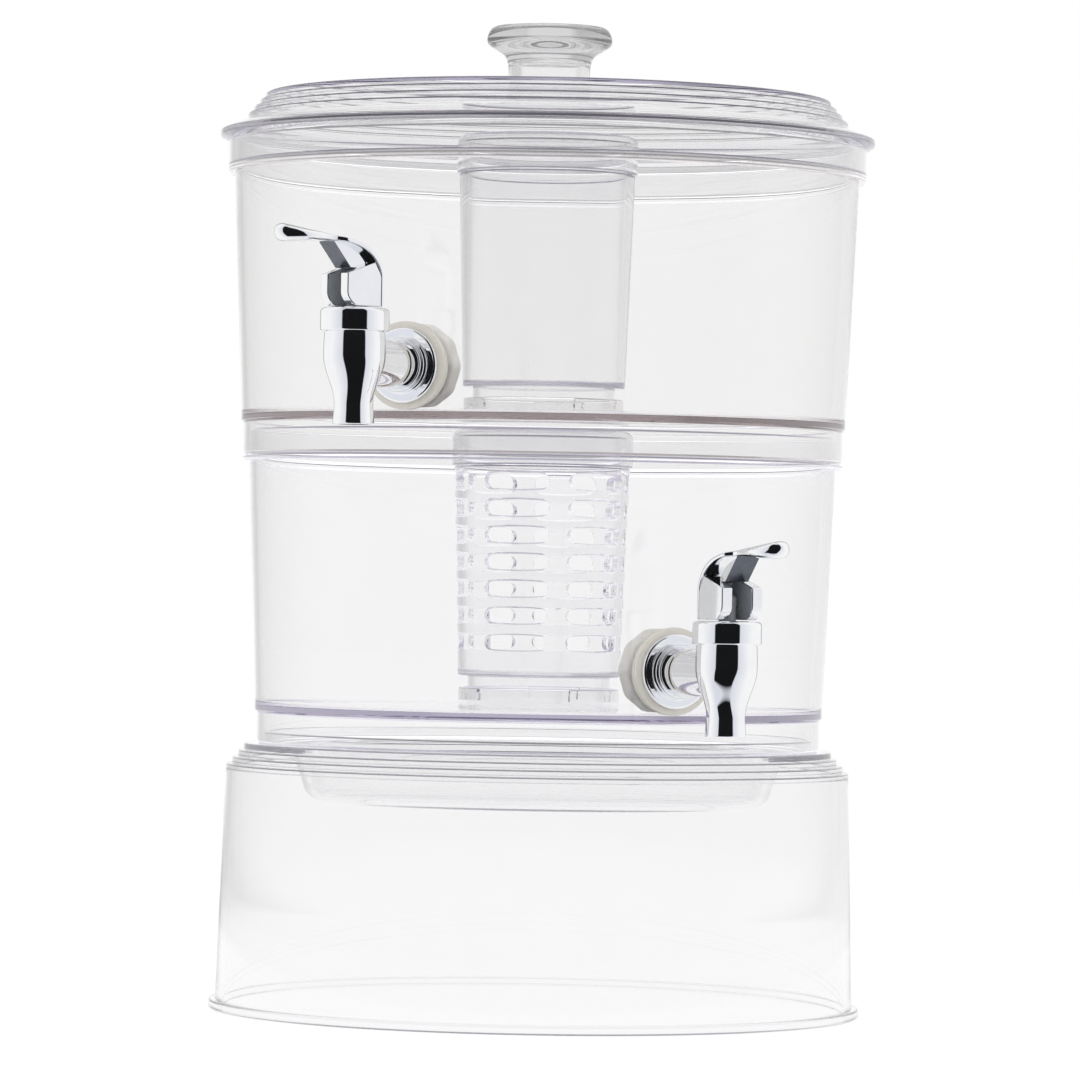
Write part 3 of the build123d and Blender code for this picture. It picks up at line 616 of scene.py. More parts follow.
def kept(node, name):
    """A merged and smoothed copy of a CAD node's mesh."""
    piece = named(bpy.data.objects.new(name, frame["nodes"][node].data.copy()), name)
    piece.data.materials.clear()
    bpy.context.scene.collection.objects.link(piece)
    return tidy(piece)


def outward(face):
    """How far a face looks away from the dispenser's axis, from -1 to 1."""
    flat = Vector((face.center.x, face.center.y, 0)).normalized()
    return flat.dot(face.normal)


def edged(piece, steps, inward=False):
    """Mark the narrow outward rounds of a turned shell, or the inward ones too, for its second finish,
    which paints shade and glow on them.
    """
    for face in piece.data.polygons:
        around = 2 * math.pi * math.hypot(*face.center[:2]) / steps
        look = abs(outward(face)) if inward else outward(face)
        face.material_index = int(face.area < EDGE_BAND * around and look > EDGE_LOOK)
    return piece


def dress(piece, slot, body, node, *finishes):
    """Give a piece its finishes, and let it stand for a CAD node and move with that node's body."""
    for finish in finishes:
        piece.data.materials.append(material(finish))
    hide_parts(node)
    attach(piece, body)
    return piece


def feed(tree, socket, value):
    """Link a socket to another one, or set it to a number or colour."""
    if isinstance(value, bpy.types.NodeSocket):
        tree.links.new(value, socket)
    else:
        socket.default_value = value


def add(tree, kind, inputs, **choices):
    """A new shader node with its choices made and its inputs fed, by name or number."""
    made = tree.nodes.new(f"ShaderNode{kind}")
    for name, choice in choices.items():
        setattr(made, name, choice)
    for name, value in inputs.items():
        feed(tree, made.inputs[name], value)
    return made


def maths(tree, operation, first, second=0.0):
    """The value of a sum of two numbers or sockets."""
    return add(tree, "Math", {0: first, 1: second}, operation=operation).outputs["Value"]


def ranged(tree, value, low, high, start=0.0, end=1.0, kind="LINEAR"):
    """A value carried from one range to another, and held at its ends."""
    inputs = {"Value": value, "From Min": low, "From Max": high, "To Min": start, "To Max": end}
    return add(tree, "MapRange", inputs, interpolation_type=kind).outputs["Result"]


def blended(tree, factor, first, second):
    """A mix of two colours."""
    return add(tree, "Mix", {"Factor": factor, "A": first, "B": second}, data_type="RGBA").outputs["Result"]


def mixed(tree, share, first, second):
    """A share of the second shader over the first."""
    return add(tree, "MixShader", {"Fac": share, 1: first, 2: second}).outputs["Shader"]


def emptied(holder):
    """The node tree of a material or a world, with nothing in it."""
    holder.use_nodes = True
    holder.node_tree.nodes.clear()
    return holder.node_tree


def new_group(name, inputs, outputs):
    """An empty shader group with named sockets: its tree, what it is given and what it puts out."""
    group = bpy.data.node_groups.new(name, "ShaderNodeTree")
    for label, kind, default in inputs:
        socket = group.interface.new_socket(label, in_out="INPUT", socket_type=f"NodeSocket{kind}")
        socket.default_value = default
    for label, kind in outputs:
        group.interface.new_socket(label, in_out="OUTPUT", socket_type=f"NodeSocket{kind}")
    given = group.nodes.new("NodeGroupInput").outputs
    return group, given, group.nodes.new("NodeGroupOutput").inputs


def grain_group():
    """Shared surface grain: fine roughness changes and a low height, on the piece's own coordinates."""
    name = "Surface Grain"
    if name in bpy.data.node_groups:
        return bpy.data.node_groups[name]
    numbers = (("Scale", 200.0), ("Low", 0.1), ("High", 0.2), ("Stretch", 1.0))
    tree, given, put = new_group(
        name,
        [(label, "Float", default) for label, default in numbers],
        [(label, "Float") for label in ("Roughness", "Height", "Mask")],
    )
    place = add(tree, "TexCoord", {}).outputs["Object"]
    spread = add(tree, "CombineXYZ", {"X": 1.0, "Y": 1.0, "Z": given["Stretch"]}).outputs["Vector"]
    scaled = add(tree, "VectorMath", {0: place, 1: spread}, operation="MULTIPLY").outputs["Vector"]
    broad = add(tree, "TexNoise", {"Vector": scaled, "Scale": given["Scale"], "Detail": 4.0}).outputs["Fac"]
    finer = maths(tree, "MULTIPLY", given["Scale"], FINER)
    fine = add(tree, "TexNoise", {"Vector": scaled, "Scale": finer, "Detail": 2.0}).outputs["Fac"]
    feed(tree, put["Roughness"], ranged(tree, broad, *GRAIN_BAND, given["Low"], given["High"]))
    feed(tree, put["Height"], fine)
    feed(tree, put["Mask"], broad)
    return tree


def drift_group():
    """Shared colour drift: a colour that wanders a little towards another over the surface."""
    name = "Colour Drift"
    if name in bpy.data.node_groups:
        return bpy.data.node_groups[name]
    tree, given, put = new_group(
        name,
        [
            ("Mask", "Float", 0.5),
            ("Colour", "Color", (1.0, 1.0, 1.0, 1.0)),
            ("Towards", "Color", (0.5, 0.5, 0.5, 1.0)),
            ("Most", "Float", 0.3),
        ],
        [("Colour", "Color")],
    )
    share = ranged(tree, given["Mask"], *DRIFT_BAND, 0.0, given["Most"])
    feed(tree, put["Colour"], blended(tree, share, given["Colour"], given["Towards"]))
    return tree


def blank(name):
    """An empty node material: its tree, its Principled shader and its output."""
    made = bpy.data.materials.new(name)
    tree = emptied(made)
    shader = add(tree, "BsdfPrincipled", {})
    output = add(tree, "OutputMaterial", {"Surface": shader.outputs["BSDF"]})
    return made, tree, shader, output


def grained(tree, shader, scale, low, high, bump=0.0, stretch=1.0):
    """Drive a shader's roughness and normal from the shared grain, and give the grain's mask."""
    inputs = {"Scale": scale, "Low": low, "High": high, "Stretch": stretch}
    grain = add(tree, "Group", inputs, node_tree=grain_group()).outputs
    feed(tree, shader.inputs["Roughness"], grain["Roughness"])
    if bump:
        relief = add(tree, "Bump", {"Distance": bump, "Height": grain["Height"]})
        feed(tree, shader.inputs["Normal"], relief.outputs["Normal"])
    return grain["Mask"]


def drifting(tree, shader, mask, colour, share, most):
    """Let a shader's colour wander, where the mask is high, towards a share of itself."""
    inputs = {"Mask": mask, "Colour": colour, "Towards": shaded(colour, share), "Most": most}
    drift = add(tree, "Group", inputs, node_tree=drift_group())
    feed(tree, shader.inputs["Base Color"], drift.outputs["Colour"])


def shaded(colour, share):
    """A share of a colour."""
    return (*(share * part for part in colour[:3]), 1.0)


def clear_finish(name):
    """Clear moulded plastic: it bends light, lets lamps through and takes colour over a long way. An edge
    finish also paints shade, with a darker tint, and paints glow, with emission.
    """
    finish = settings("finish")
    family = name.removeprefix("clear_").removesuffix("_edge")
    body = getattr(finish, f"{BODIES.get(family, family)}_body")
    made, tree, shader, output = blank(name)
    # An edge finish: painted shade from a share of the edge tint, and a painted glow from emission.
    if name.endswith("_edge"):
        surface = shaded(finish.edge_tint, getattr(finish, f"{family}_edge"))
        glow = getattr(finish, f"{GLOWS.get(family, family)}_glow")
    else:
        surface = shaded(getattr(finish, f"{family}_tint"), 1.0)
        glow = 0.0
    shader.inputs["Transmission Weight"].default_value = 1.0
    shader.inputs["IOR"].default_value = finish.clear_ior
    shader.inputs["Emission Color"].default_value = finish.edge_tint
    shader.inputs["Emission Strength"].default_value = glow
    drifting(tree, shader, grained(tree, shader, *CLEAR_GRAIN), surface, *CLEAR_DRIFT)
    passing = add(tree, "BsdfTransparent", {"Color": surface})
    shadow = add(tree, "LightPath", {}).outputs["Is Shadow Ray"]
    choice = mixed(tree, shadow, shader.outputs["BSDF"], passing.outputs["BSDF"])
    feed(tree, output.inputs["Surface"], choice)
    depth = add(tree, "VolumeAbsorption", {"Color": body, "Density": finish.body_density})
    feed(tree, output.inputs["Volume"], depth.outputs["Volume"])
    return made


def metal_finish(name, colour, grain, share, most):
    """Plated or drawn metal: a grain of scale, roughness from and to, relief and stretch."""
    made, tree, shader, _ = blank(name)
    shader.inputs["Metallic"].default_value = 1.0
    drifting(tree, shader, grained(tree, shader, *grain), colour, share, most)
    return made


def moulded_finish(name, colour, grain, share, most, soft=0.0, sheen=0.0):
    """Moulded plastic or rubber: matt, slightly mottled, and soft to light where that is asked."""
    made, tree, shader, _ = blank(name)
    shader.inputs["Subsurface Weight"].default_value = soft
    shader.inputs["Subsurface Radius"].default_value = SOFT_RADII
    shader.inputs["Sheen Weight"].default_value = sheen
    drifting(tree, shader, grained(tree, shader, *grain), colour, share, most)
    return made


def material(name):
    """A finish by its name, made the first time it is asked for."""
    if name in bpy.data.materials:
        return bpy.data.materials[name]
    finish = settings("finish")
    rubber = (420.0, 0.5, 0.68, FINE)
    solid = {
        "chrome_plate": (metal_finish, finish.chrome, (140.0, 0.02, 0.06), 0.92, 0.4),
        # A dark metal finish with painted shade for the front of the lever's web.
        "lever_web": (metal_finish, finish.web, (300.0, 0.2, 0.3), 0.8, 0.5),
        "drawn_steel": (metal_finish, finish.steel, (900.0, 0.16, 0.34, FINE / 3, 0.15), 0.72, 0.5),
        # A dark finish with painted shade for the lever's slot between its cheeks.
        "lever_recess": (moulded_finish, finish.recess, (300.0, 0.3, 0.45, FINE), 0.7, 0.6),
        "nut_nylon": (moulded_finish, finish.nylon, (260.0, 0.34, 0.5, FINE), 0.87, 0.5, 0.15),
        "gasket_silicone": (moulded_finish, finish.silicone, rubber, 0.88, 0.45, 0.0, 0.1),
        "plug_silicone": (moulded_finish, finish.plug, rubber, 1.8, 0.45, 0.0, 0.1),
        "stem_acetal": (moulded_finish, finish.stem, (500.0, 0.3, 0.45, FINE), 1.4, 0.6),
    }
    maker, *values = solid.get(name, (clear_finish,))
    return maker(name, *values)


class Tier:
    """Heights and radii of one tank in its rest place, and the top of the tube in it."""

    def __init__(self, name):
        size = settings("shell")
        tube = settings("tube")
        upper = name == "upper"
        middle_skirt = size.lower_skirt + size.lower_flare
        lid_roof = size.lid_skirt_height + size.lip_rise + size.lip / 2
        next_skirt = middle_skirt + size.upper_flare if upper else middle_skirt
        storey = size.tank_height + size.upper_skirt_height - size.lower_skirt_height - size.floor
        self.seat = size.base_height + (size.tank_height if upper else 0.0)
        self.skirt = middle_skirt if upper else size.lower_skirt
        self.floor_under = self.seat + (size.upper_skirt_height if upper else size.lower_skirt_height)
        self.floor_top = self.floor_under + size.floor
        self.wall = self.skirt + size.floor_step
        self.wall_foot = self.floor_under + size.floor_step
        self.rim = next_skirt - size.wall - size.slip
        self.flange = next_skirt + size.flange_ledge
        self.flange_top = self.seat + size.tank_height
        self.flange_under = self.flange_top - size.flange
        self.rim_top = self.flange_top + (lid_roof if upper else size.upper_skirt_height) - size.rim_room
        self.cap_top = self.floor_top + (tube.chiller_height if upper else storey - tube.head_room)


def ring_steps(foot_radius, foot_height, inside=0.0):
    """Corners of a stepped shoulder from its foot up, or from its top down along the inside of a wall."""
    size = settings("shell")
    run = size.ring_run / size.rings
    rise = size.ring_rise / size.rings
    corners = []
    for ring in range(size.rings):
        level = foot_height + (ring + 1) * rise - inside
        edge = (foot_radius - ring * run - inside, level)
        root = (foot_radius - (ring + 1) * run - inside, level)
        if not inside:
            corners += [(*edge, size.ring_edge), root]
        elif ring < size.rings - 1:
            corners += [edge, (*root, size.ring_edge)]
        else:
            corners += [edge]
    return corners[::-1] if inside else corners


class DISPENSER_OT_stand(Operator):
    """Turn the flared stand with its bead, stepped shoulder, locating rim and well"""

    bl_idname = "dispenser.stand"
    bl_label = "Base Stand"

    def execute(self, context):
        size = settings("shell")
        top = size.base_height
        wall_radius = size.lower_skirt + size.base_ledge + size.ring_run
        foot_radius = wall_radius + size.base_taper
        bead = foot_radius + size.bead_reach
        shoulder = top - size.ring_rise
        rim = size.lower_skirt - size.wall - size.slip
        rim_top = top + size.base_rim
        mouth = rim - size.wall - size.well_inset
        well = mouth - size.well_slope
        well_floor = top - size.well_depth
        chain = soften(
            [
                (0, well_floor - size.wall),
                (well + size.wall, well_floor - size.wall, size.well_round + size.wall),
                (mouth + size.wall, top - size.wall),
                *ring_steps(wall_radius, shoulder, inside=size.wall),
                (wall_radius - size.wall, shoulder - size.wall),
                (foot_radius - size.wall, size.bead_height),
                (foot_radius - size.wall, 0, size.ring_edge),
                (bead, 0, size.soft_edge),
                (bead, size.bead_height, size.soft_edge),
                (foot_radius, size.bead_height),
                (wall_radius, shoulder),
                *ring_steps(wall_radius, shoulder),
                (rim, top),
                (rim, rim_top, size.ring_edge),
                (rim - size.wall, rim_top, size.ring_edge),
                (rim - size.wall, top),
                (mouth, top, size.soft_edge),
                (well, well_floor, size.well_round),
                (0, well_floor),
            ]
        )
        stand = edged(turned("clear_stand_shell", chain, size.steps), size.steps)
        dress(stand, "clear", "base", "base_stand", "clear_stand", "stand_edge")
        return {"FINISHED"}


def wedges(name, inner, outer, low, high):
    """A ring of short curved blocks, as many as a foot has lugs, the first one centred on X."""
    size = settings("tube")
    chain = [(inner, low), (outer, low), (outer, high), (inner, high)]
    first = turned(name, chain, LUG_STEPS, closed=True, sweep=size.lug_spread)
    moved(first, about_z(-size.lug_spread / 2))
    pitch = 2 * math.pi / size.lugs
    others = [copied(first, about_z(pitch * index)) for index in range(1, size.lugs)]
    return joined([first, *others])


def spigot_joint(side, kind):
    """The joint of one kind in a tank's spigot."""
    return next(joint for joint in frame["joints"] if joint["name"] == f"{side}_{kind}")


def frame_at(origin, out):
    """A place with X along a level direction and Z up."""
    across = Vector((0, 0, 1)).cross(out)
    place = Matrix((out, across, (0, 0, 1))).transposed().to_4x4()
    place.translation = origin
    return place


def shank_place(side):
    """Where a spout's axis meets its shank: X out along the shank, Z up."""
    size = settings("spigot")
    pin = Vector(spigot_joint(side, "lever_tilt")["pos_m"])
    drop = size.pin_rise + size.bonnet_seat + size.bonnet_height
    return frame_at(pin - Vector((0, 0, drop)), Vector((pin.x, pin.y, 0)).normalized())


def lever_place(side):
    """A lever's own frame on its bonnet's top: X out along the lever, Z up."""
    joint = spigot_joint(side, "lever_tilt")
    out = Vector(joint["axis"]).cross(Vector((0, 0, 1)))
    return frame_at(Vector(joint["pos_m"]) - Vector((0, 0, settings("spigot").pin_rise)), out)


def along_shank():
    """Turns a piece made about Z so that it lies along the shank, its top outward."""
    return Matrix.Rotation(math.pi / 2, 4, "Y")


class DISPENSER_OT_tanks(Operator):
    """Turn both tanks with their skirts, floors, flanges, rims and tube sockets, bored for the spigots"""

    bl_idname = "dispenser.tanks"
    bl_label = "Tanks"

    def execute(self, context):
        size = settings("shell")
        tube = settings("tube")
        spigot = settings("spigot")
        foot = tube.bottom - tube.foot_inset
        bore = foot + tube.lug_reach + size.slip
        socket = bore + tube.socket_wall
        for name in TIERS:
            tier = Tier(name)
            skirt_foot = tier.seat + size.joint
            socket_top = tier.floor_top + tube.socket_height
            tab = tier.floor_top + tube.lug_lift + tube.lug_height + size.slip
            chain = soften(
                [
                    (0, tier.floor_under),
                    (tier.skirt - size.wall, tier.floor_under, size.ring_edge),
                    (tier.skirt - size.wall, skirt_foot, size.ring_edge),
                    (tier.skirt, skirt_foot, size.soft_edge),
                    (tier.skirt, tier.floor_under),
                    (tier.wall, tier.wall_foot),
                    (tier.rim, tier.flange_under),
                    (tier.flange, tier.flange_under, size.soft_edge),
                    (tier.flange, tier.flange_top, size.soft_edge),
                    (tier.rim, tier.flange_top),
                    (tier.rim, tier.rim_top, size.soft_edge),
                    (tier.rim - size.wall, tier.rim_top, size.ring_edge),
                    (tier.rim - size.wall, tier.flange_under),
                    (tier.wall - size.wall, tier.floor_top, size.floor_round),
                    (socket, tier.floor_top),
                    (socket, socket_top, size.ring_edge),
                    (bore, socket_top, size.ring_edge),
                    (bore, tier.floor_top),
                    (0, tier.floor_top),
                ]
            )
            tank = turned(f"{name}_tank_shell", chain, size.steps)
            tabs = wedges("tabs", foot + size.slip, bore + tube.socket_wall / 2, tab, tab + tube.tab_height)
            tank = worked(tank, tabs, "UNION")
            reach = size.base_height
            hole = [(0, -reach), (spigot.tail + size.slip, -reach), (spigot.tail + size.slip, 0), (0, 0)]
            drill = turned("drill", hole, spigot.steps)
            worked(tank, moved(drill, shank_place(name) @ along_shank()))
            edged(tidy(tank), size.steps, inward=True)
            dress(tank, "clear", f"{name}_tier", f"{name}_tank", f"clear_{name}", f"{name}_edge")
        return {"FINISHED"}


class DISPENSER_OT_lid(Operator):
    """Turn the lid with its skirt, rolled lip and stepped shoulder"""

    bl_idname = "dispenser.lid"
    bl_label = "Lid"

    def execute(self, context):
        size = settings("shell")
        knob = settings("knob")
        seat = size.base_height + 2 * size.tank_height
        skirt = size.lower_skirt + size.lower_flare + size.upper_flare
        shoulder_radius = skirt - size.lid_inset
        shoulder = seat + size.lid_shoulder
        top = shoulder + size.ring_rise
        lip = skirt + size.lip_reach
        lip_under = seat + size.lid_skirt_height + size.lip_rise
        roof = lip_under + size.lip / 2
        recess = knob.neck + knob.foot_reach + size.slip
        chain = soften(
            [
                (0, top - size.lid_roof),
                *ring_steps(shoulder_radius, shoulder, inside=size.lid_roof),
                (shoulder_radius - size.lid_roof, shoulder - size.lid_roof),
                (skirt - size.wall, roof, size.soft_edge),
                (skirt - size.wall, seat + size.joint, size.ring_edge),
                (skirt, seat + size.joint, size.soft_edge),
                (skirt, seat + size.lid_skirt_height),
                (lip, lip_under, size.soft_edge),
                (lip, lip_under + size.lip, size.soft_edge),
                (shoulder_radius, shoulder),
                *ring_steps(shoulder_radius, shoulder),
                (recess, top, size.ring_edge),
                (recess, top - knob.seat),
                (0, top - knob.seat),
            ]
        )
        lid = edged(turned("lid_shell", chain, size.steps), size.steps)
        # The lip's outward faces take the edge finish too, with its painted shade and glow.
        for face in lid.data.polygons:
            if math.hypot(*face.center[:2]) > lip - size.soft_edge and outward(face) > SLOT_LOOK:
                face.material_index = 1
        dress(lid, "clear", "lid_set", "lid", "clear_lid", "lid_edge")
        return {"FINISHED"}


class DISPENSER_OT_knob(Operator):
    """Turn the hollow knob with its dished head"""

    bl_idname = "dispenser.knob"
    bl_label = "Lid Knob"

    def execute(self, context):
        size = settings("shell")
        knob = settings("knob")
        top = size.base_height + 2 * size.tank_height + size.lid_shoulder + size.ring_rise
        foot = top - knob.seat + size.joint
        core = knob.neck - knob.core_wall
        head = knob.neck + knob.head_reach
        rim = (head - knob.rim_inset, top + knob.height)
        widest = (head, top + knob.height - knob.head_drop)
        dish = (0, top + knob.height - knob.dish)
        start = (knob.neck + knob.foot_reach, top)
        neck = (knob.neck, top + knob.neck_height)
        throat = (knob.neck + knob.throat_reach, top + knob.throat_height)
        up, inward = (0, 1), (-1, 0)
        side_steps, brow_steps, bowl_steps = KNOB_STEPS
        side = flowing([start, neck, throat, widest], [(-1, 2), up, (1, 3), up], side_steps)
        brow = flowing([widest, rim], [up, inward], brow_steps)
        bowl = flowing([rim, dish], [inward, inward], bowl_steps)
        hollow = soften(
            [
                (0, top + knob.core_height),
                (core, top + knob.core_height, knob.core_round),
                (core, foot),
                (knob.neck + knob.foot_reach, foot, size.ring_edge),
                start,
            ]
        )
        chain = [*hollow[:-1], *side, *brow[1:], *bowl[1:]]
        piece = turned("knob_turning", chain, size.steps)
        dress(piece, "clear", "lid_set", "lid_knob", "clear_knob")
        return {"FINISHED"}


def tube_chain(tier):
    """Half section of a tube standing on a tank's floor, with the heights of its step and its shoulder."""
    size = settings("tube")
    shell = settings("shell")
    foot_radius = size.bottom - size.foot_inset
    foot = tier.floor_top + size.foot_gap
    step = tier.floor_top + size.socket_height + size.socket_gap
    shoulder = tier.cap_top - size.cap_height - size.foot_gap
    top_radius = size.bottom + size.flare
    neck = top_radius + size.cap_overhang - size.cap_wall - shell.slip
    neck_top = tier.cap_top - size.cap_wall - size.cap_room
    corners = [
        (0, step),
        (foot_radius - size.wall, step, shell.ring_edge),
        (foot_radius - size.wall, foot),
        (foot_radius, foot),
        (foot_radius, step),
        (size.bottom, step, shell.soft_edge),
        (top_radius, shoulder, shell.ring_edge),
        (neck, shoulder),
        (neck, neck_top, shell.ring_edge),
        (neck - size.wall, neck_top, shell.ring_edge),
        (size.bottom - size.wall, step + size.wall, shell.soft_edge),
        (0, step + size.wall),
    ]
    return soften(corners), step, shoulder


def slot_cutters(step, shoulder):
    """Every slot of the basket as one cutting tool: a stadium prism copied in columns and rows."""
    size = settings("tube")
    half = size.slot_height / 2
    straight = size.slot_length / 2 - half
    near = size.bottom - 2 * size.wall
    stadium = []
    for end in (1, -1):
        for index in range(SLOT_END_STEPS + 1):
            angle = math.pi * (index / SLOT_END_STEPS - 0.5)
            across = straight + half * math.cos(angle)
            stadium.append((near, end * across, end * half * math.sin(angle)))
    growth = 2 * SLOT_REACH * size.slot_draft
    spread = (1, 1 + growth / size.slot_length, 1 + growth / size.slot_height)
    first = slab("slots", stadium, (SLOT_REACH * size.wall, 0, 0), spread)
    low = step + size.slot_low
    pitch = (shoulder - size.slot_high - low) / (size.rows - 1)
    made = []
    for column in range(size.columns):
        angle = size.slot_turn - math.pi / 2 + 2 * math.pi * column / size.columns
        for row in range(size.rows):
            made.append(copied(first, about_z(angle) @ Matrix.Translation((0, 0, low + row * pitch))))
    bpy.data.objects.remove(first)
    return joined(made)


class DISPENSER_OT_tubes(Operator):
    """Turn the closed tube and the slotted basket, with lugs on their feet"""

    bl_idname = "dispenser.tubes"
    bl_label = "Tubes"

    def execute(self, context):
        size = settings("tube")
        foot = size.bottom - size.foot_inset
        for name, body, node in TUBES:
            tier = Tier(name)
            chain, step, shoulder = tube_chain(tier)
            piece = turned(f"{node}_shell", chain, size.steps)
            low = tier.floor_top + size.lug_lift
            lugs = wedges("lugs", foot - size.wall / 2, foot + size.lug_reach, low, low + size.lug_height)
            piece = worked(piece, lugs, "UNION")
            if node == "infuser_basket":
                piece = worked(piece, slot_cutters(step, shoulder))
            edged(tidy(piece), size.steps)
            # Slot walls take the edge finish, whose painted shade and glow outline each slot.
            lowest, highest = step + size.slot_low / 2, shoulder - size.cap_wall
            for face in piece.data.polygons:
                if lowest < face.center.z < highest and abs(outward(face)) < SLOT_LOOK:
                    face.material_index = 1
            dress(piece, "clear", body, node, "clear_tube", "tube_edge")
        return {"FINISHED"}


class DISPENSER_OT_caps(Operator):
    """Turn the caps of both tubes"""

    bl_idname = "dispenser.caps"
    bl_label = "Tube Caps"

    def execute(self, context):
        size = settings("tube")
        shell = settings("shell")
        radius = size.bottom + size.flare + size.cap_overhang
        bore = radius - size.cap_wall
        for name, body, tube in TUBES:
            top = Tier(name).cap_top
            bottom = top - size.cap_height
            chain = soften(
                [
                    (0, top - size.cap_wall),
                    (bore, top - size.cap_wall, size.cap_round - size.cap_wall),
                    (bore, bottom, shell.ring_edge),
                    (radius, bottom, shell.ring_edge),
                    (radius, top, size.cap_round),
                    (0, top),
                ]
            )
            cap = edged(turned(f"{body}_cap_shell", chain, size.steps), size.steps)
            dress(cap, "clear", f"{body}_top", f"{body}_cap", "clear_tube", "tube_edge")
        return {"FINISHED"}


def bell_chain(size):
    """The bell's outside from its top, over its belly and waist, round the outlet's edge to the axis."""
    top = size.bonnet_seat
    outlet = top - size.waist_drop - size.outlet_height
    curve = flowing(
        [
            (size.bell, top),
            (size.bell + size.bell_swell, top - size.belly_drop),
            (size.waist, top - size.waist_drop),
            (size.waist + size.outlet_flare, outlet),
        ],
        [(0.1, -1), (0, -1), (0, -1), (0.1, -1)],
        BELL_STEPS,
    )
    lip = soften([curve[-3], (*curve[-1], size.edge), (0, outlet)])
    return [*curve[:-2], *lip[1:]]


class DISPENSER_OT_spouts(Operator):
    """Turn the chrome spouts: a bell with a neck and a bore, joined to a stepped shank with its flange"""

    bl_idname = "dispenser.spouts"
    bl_label = "Spouts"

    def execute(self, context):
        size = settings("spigot")
        bell = bell_chain(size)
        outlet = bell[-1][1]
        neck_top = size.bonnet_seat + size.neck_height
        tail_end = -size.reach - size.tail_end
        flange_back = size.gasket - size.reach
        flange_front = flange_back + size.flange
        collar_end = flange_front + size.collar
        step = size.shank + size.shank_step
        collar = step + size.collar_reach
        shank_chain = soften(
            [
                (0, tail_end),
                (size.tail, tail_end, size.edge),
                (size.tail, flange_back),
                (collar + size.flange_reach, flange_back, size.edge),
                (collar + size.flange_reach, flange_front, 2 * size.edge),
                (collar, flange_front, size.edge),
                (collar, collar_end, size.edge),
                (step, collar_end, size.edge),
                (step, collar_end + size.step_length, size.edge / 2),
                (size.shank, collar_end + size.step_length),
                (size.shank, 0),
                (0, 0),
            ]
        )
        lip_under = -size.valve_drop - size.valve_lip
        chamber_chain = [
            (0, outlet - size.edge),
            (size.outlet_bore, outlet - size.edge),
            (size.outlet_bore, lip_under),
            (size.valve_bore, lip_under),
            (size.valve_bore, -size.valve_drop),
            (size.chamber, -size.valve_drop),
            (size.chamber, neck_top + size.edge),
            (0, neck_top + size.edge),
        ]
        way_chain = [(0, 2 * tail_end), (size.bore, 2 * tail_end), (size.bore, 0), (0, 0)]
        neck = [(0, neck_top), (size.neck, neck_top), (size.neck, size.bonnet_seat)]
        for side in TIERS:
            spout = turned(f"{side}_spout", [*neck, *bell], size.steps)
            shank = moved(turned("shank", shank_chain, size.steps), along_shank())
            spout = worked(spout, shank, "UNION")
            spout = worked(spout, turned("chamber", chamber_chain, size.steps))
            spout = worked(spout, moved(turned("way", way_chain, size.steps), along_shank()))
            moved(tidy(spout), shank_place(side))
            dress(spout, "chrome", f"{side}_tier", f"{side}_spigot_body", "chrome_plate")
        return {"FINISHED"}


class DISPENSER_OT_bonnets(Operator):
    """Turn the chrome bonnets that hold the levers"""

    bl_idname = "dispenser.bonnets"
    bl_label = "Bonnets"

    def execute(self, context):
        size = settings("spigot")
        skirt = size.bonnet_seat + size.joint
        top = size.bonnet_seat + size.bonnet_height
        under = top - size.bonnet_plate
        chain = soften(
            [
                (size.bonnet_bore, skirt),
                (size.bonnet, skirt, size.edge),
                (size.bonnet, top, size.bonnet_round),
                (size.stem_hole, top, size.edge / 2),
                (size.stem_hole, under),
                (size.bonnet_bore, under),
            ]
        )
        for side in TIERS:
            bonnet = turned(f"{side}_bonnet_ring", chain, size.steps, closed=True)
            moved(bonnet, shank_place(side))
            dress(bonnet, "chrome", f"{side}_head", f"{side}_bonnet", "chrome_plate")
        return {"FINISHED"}


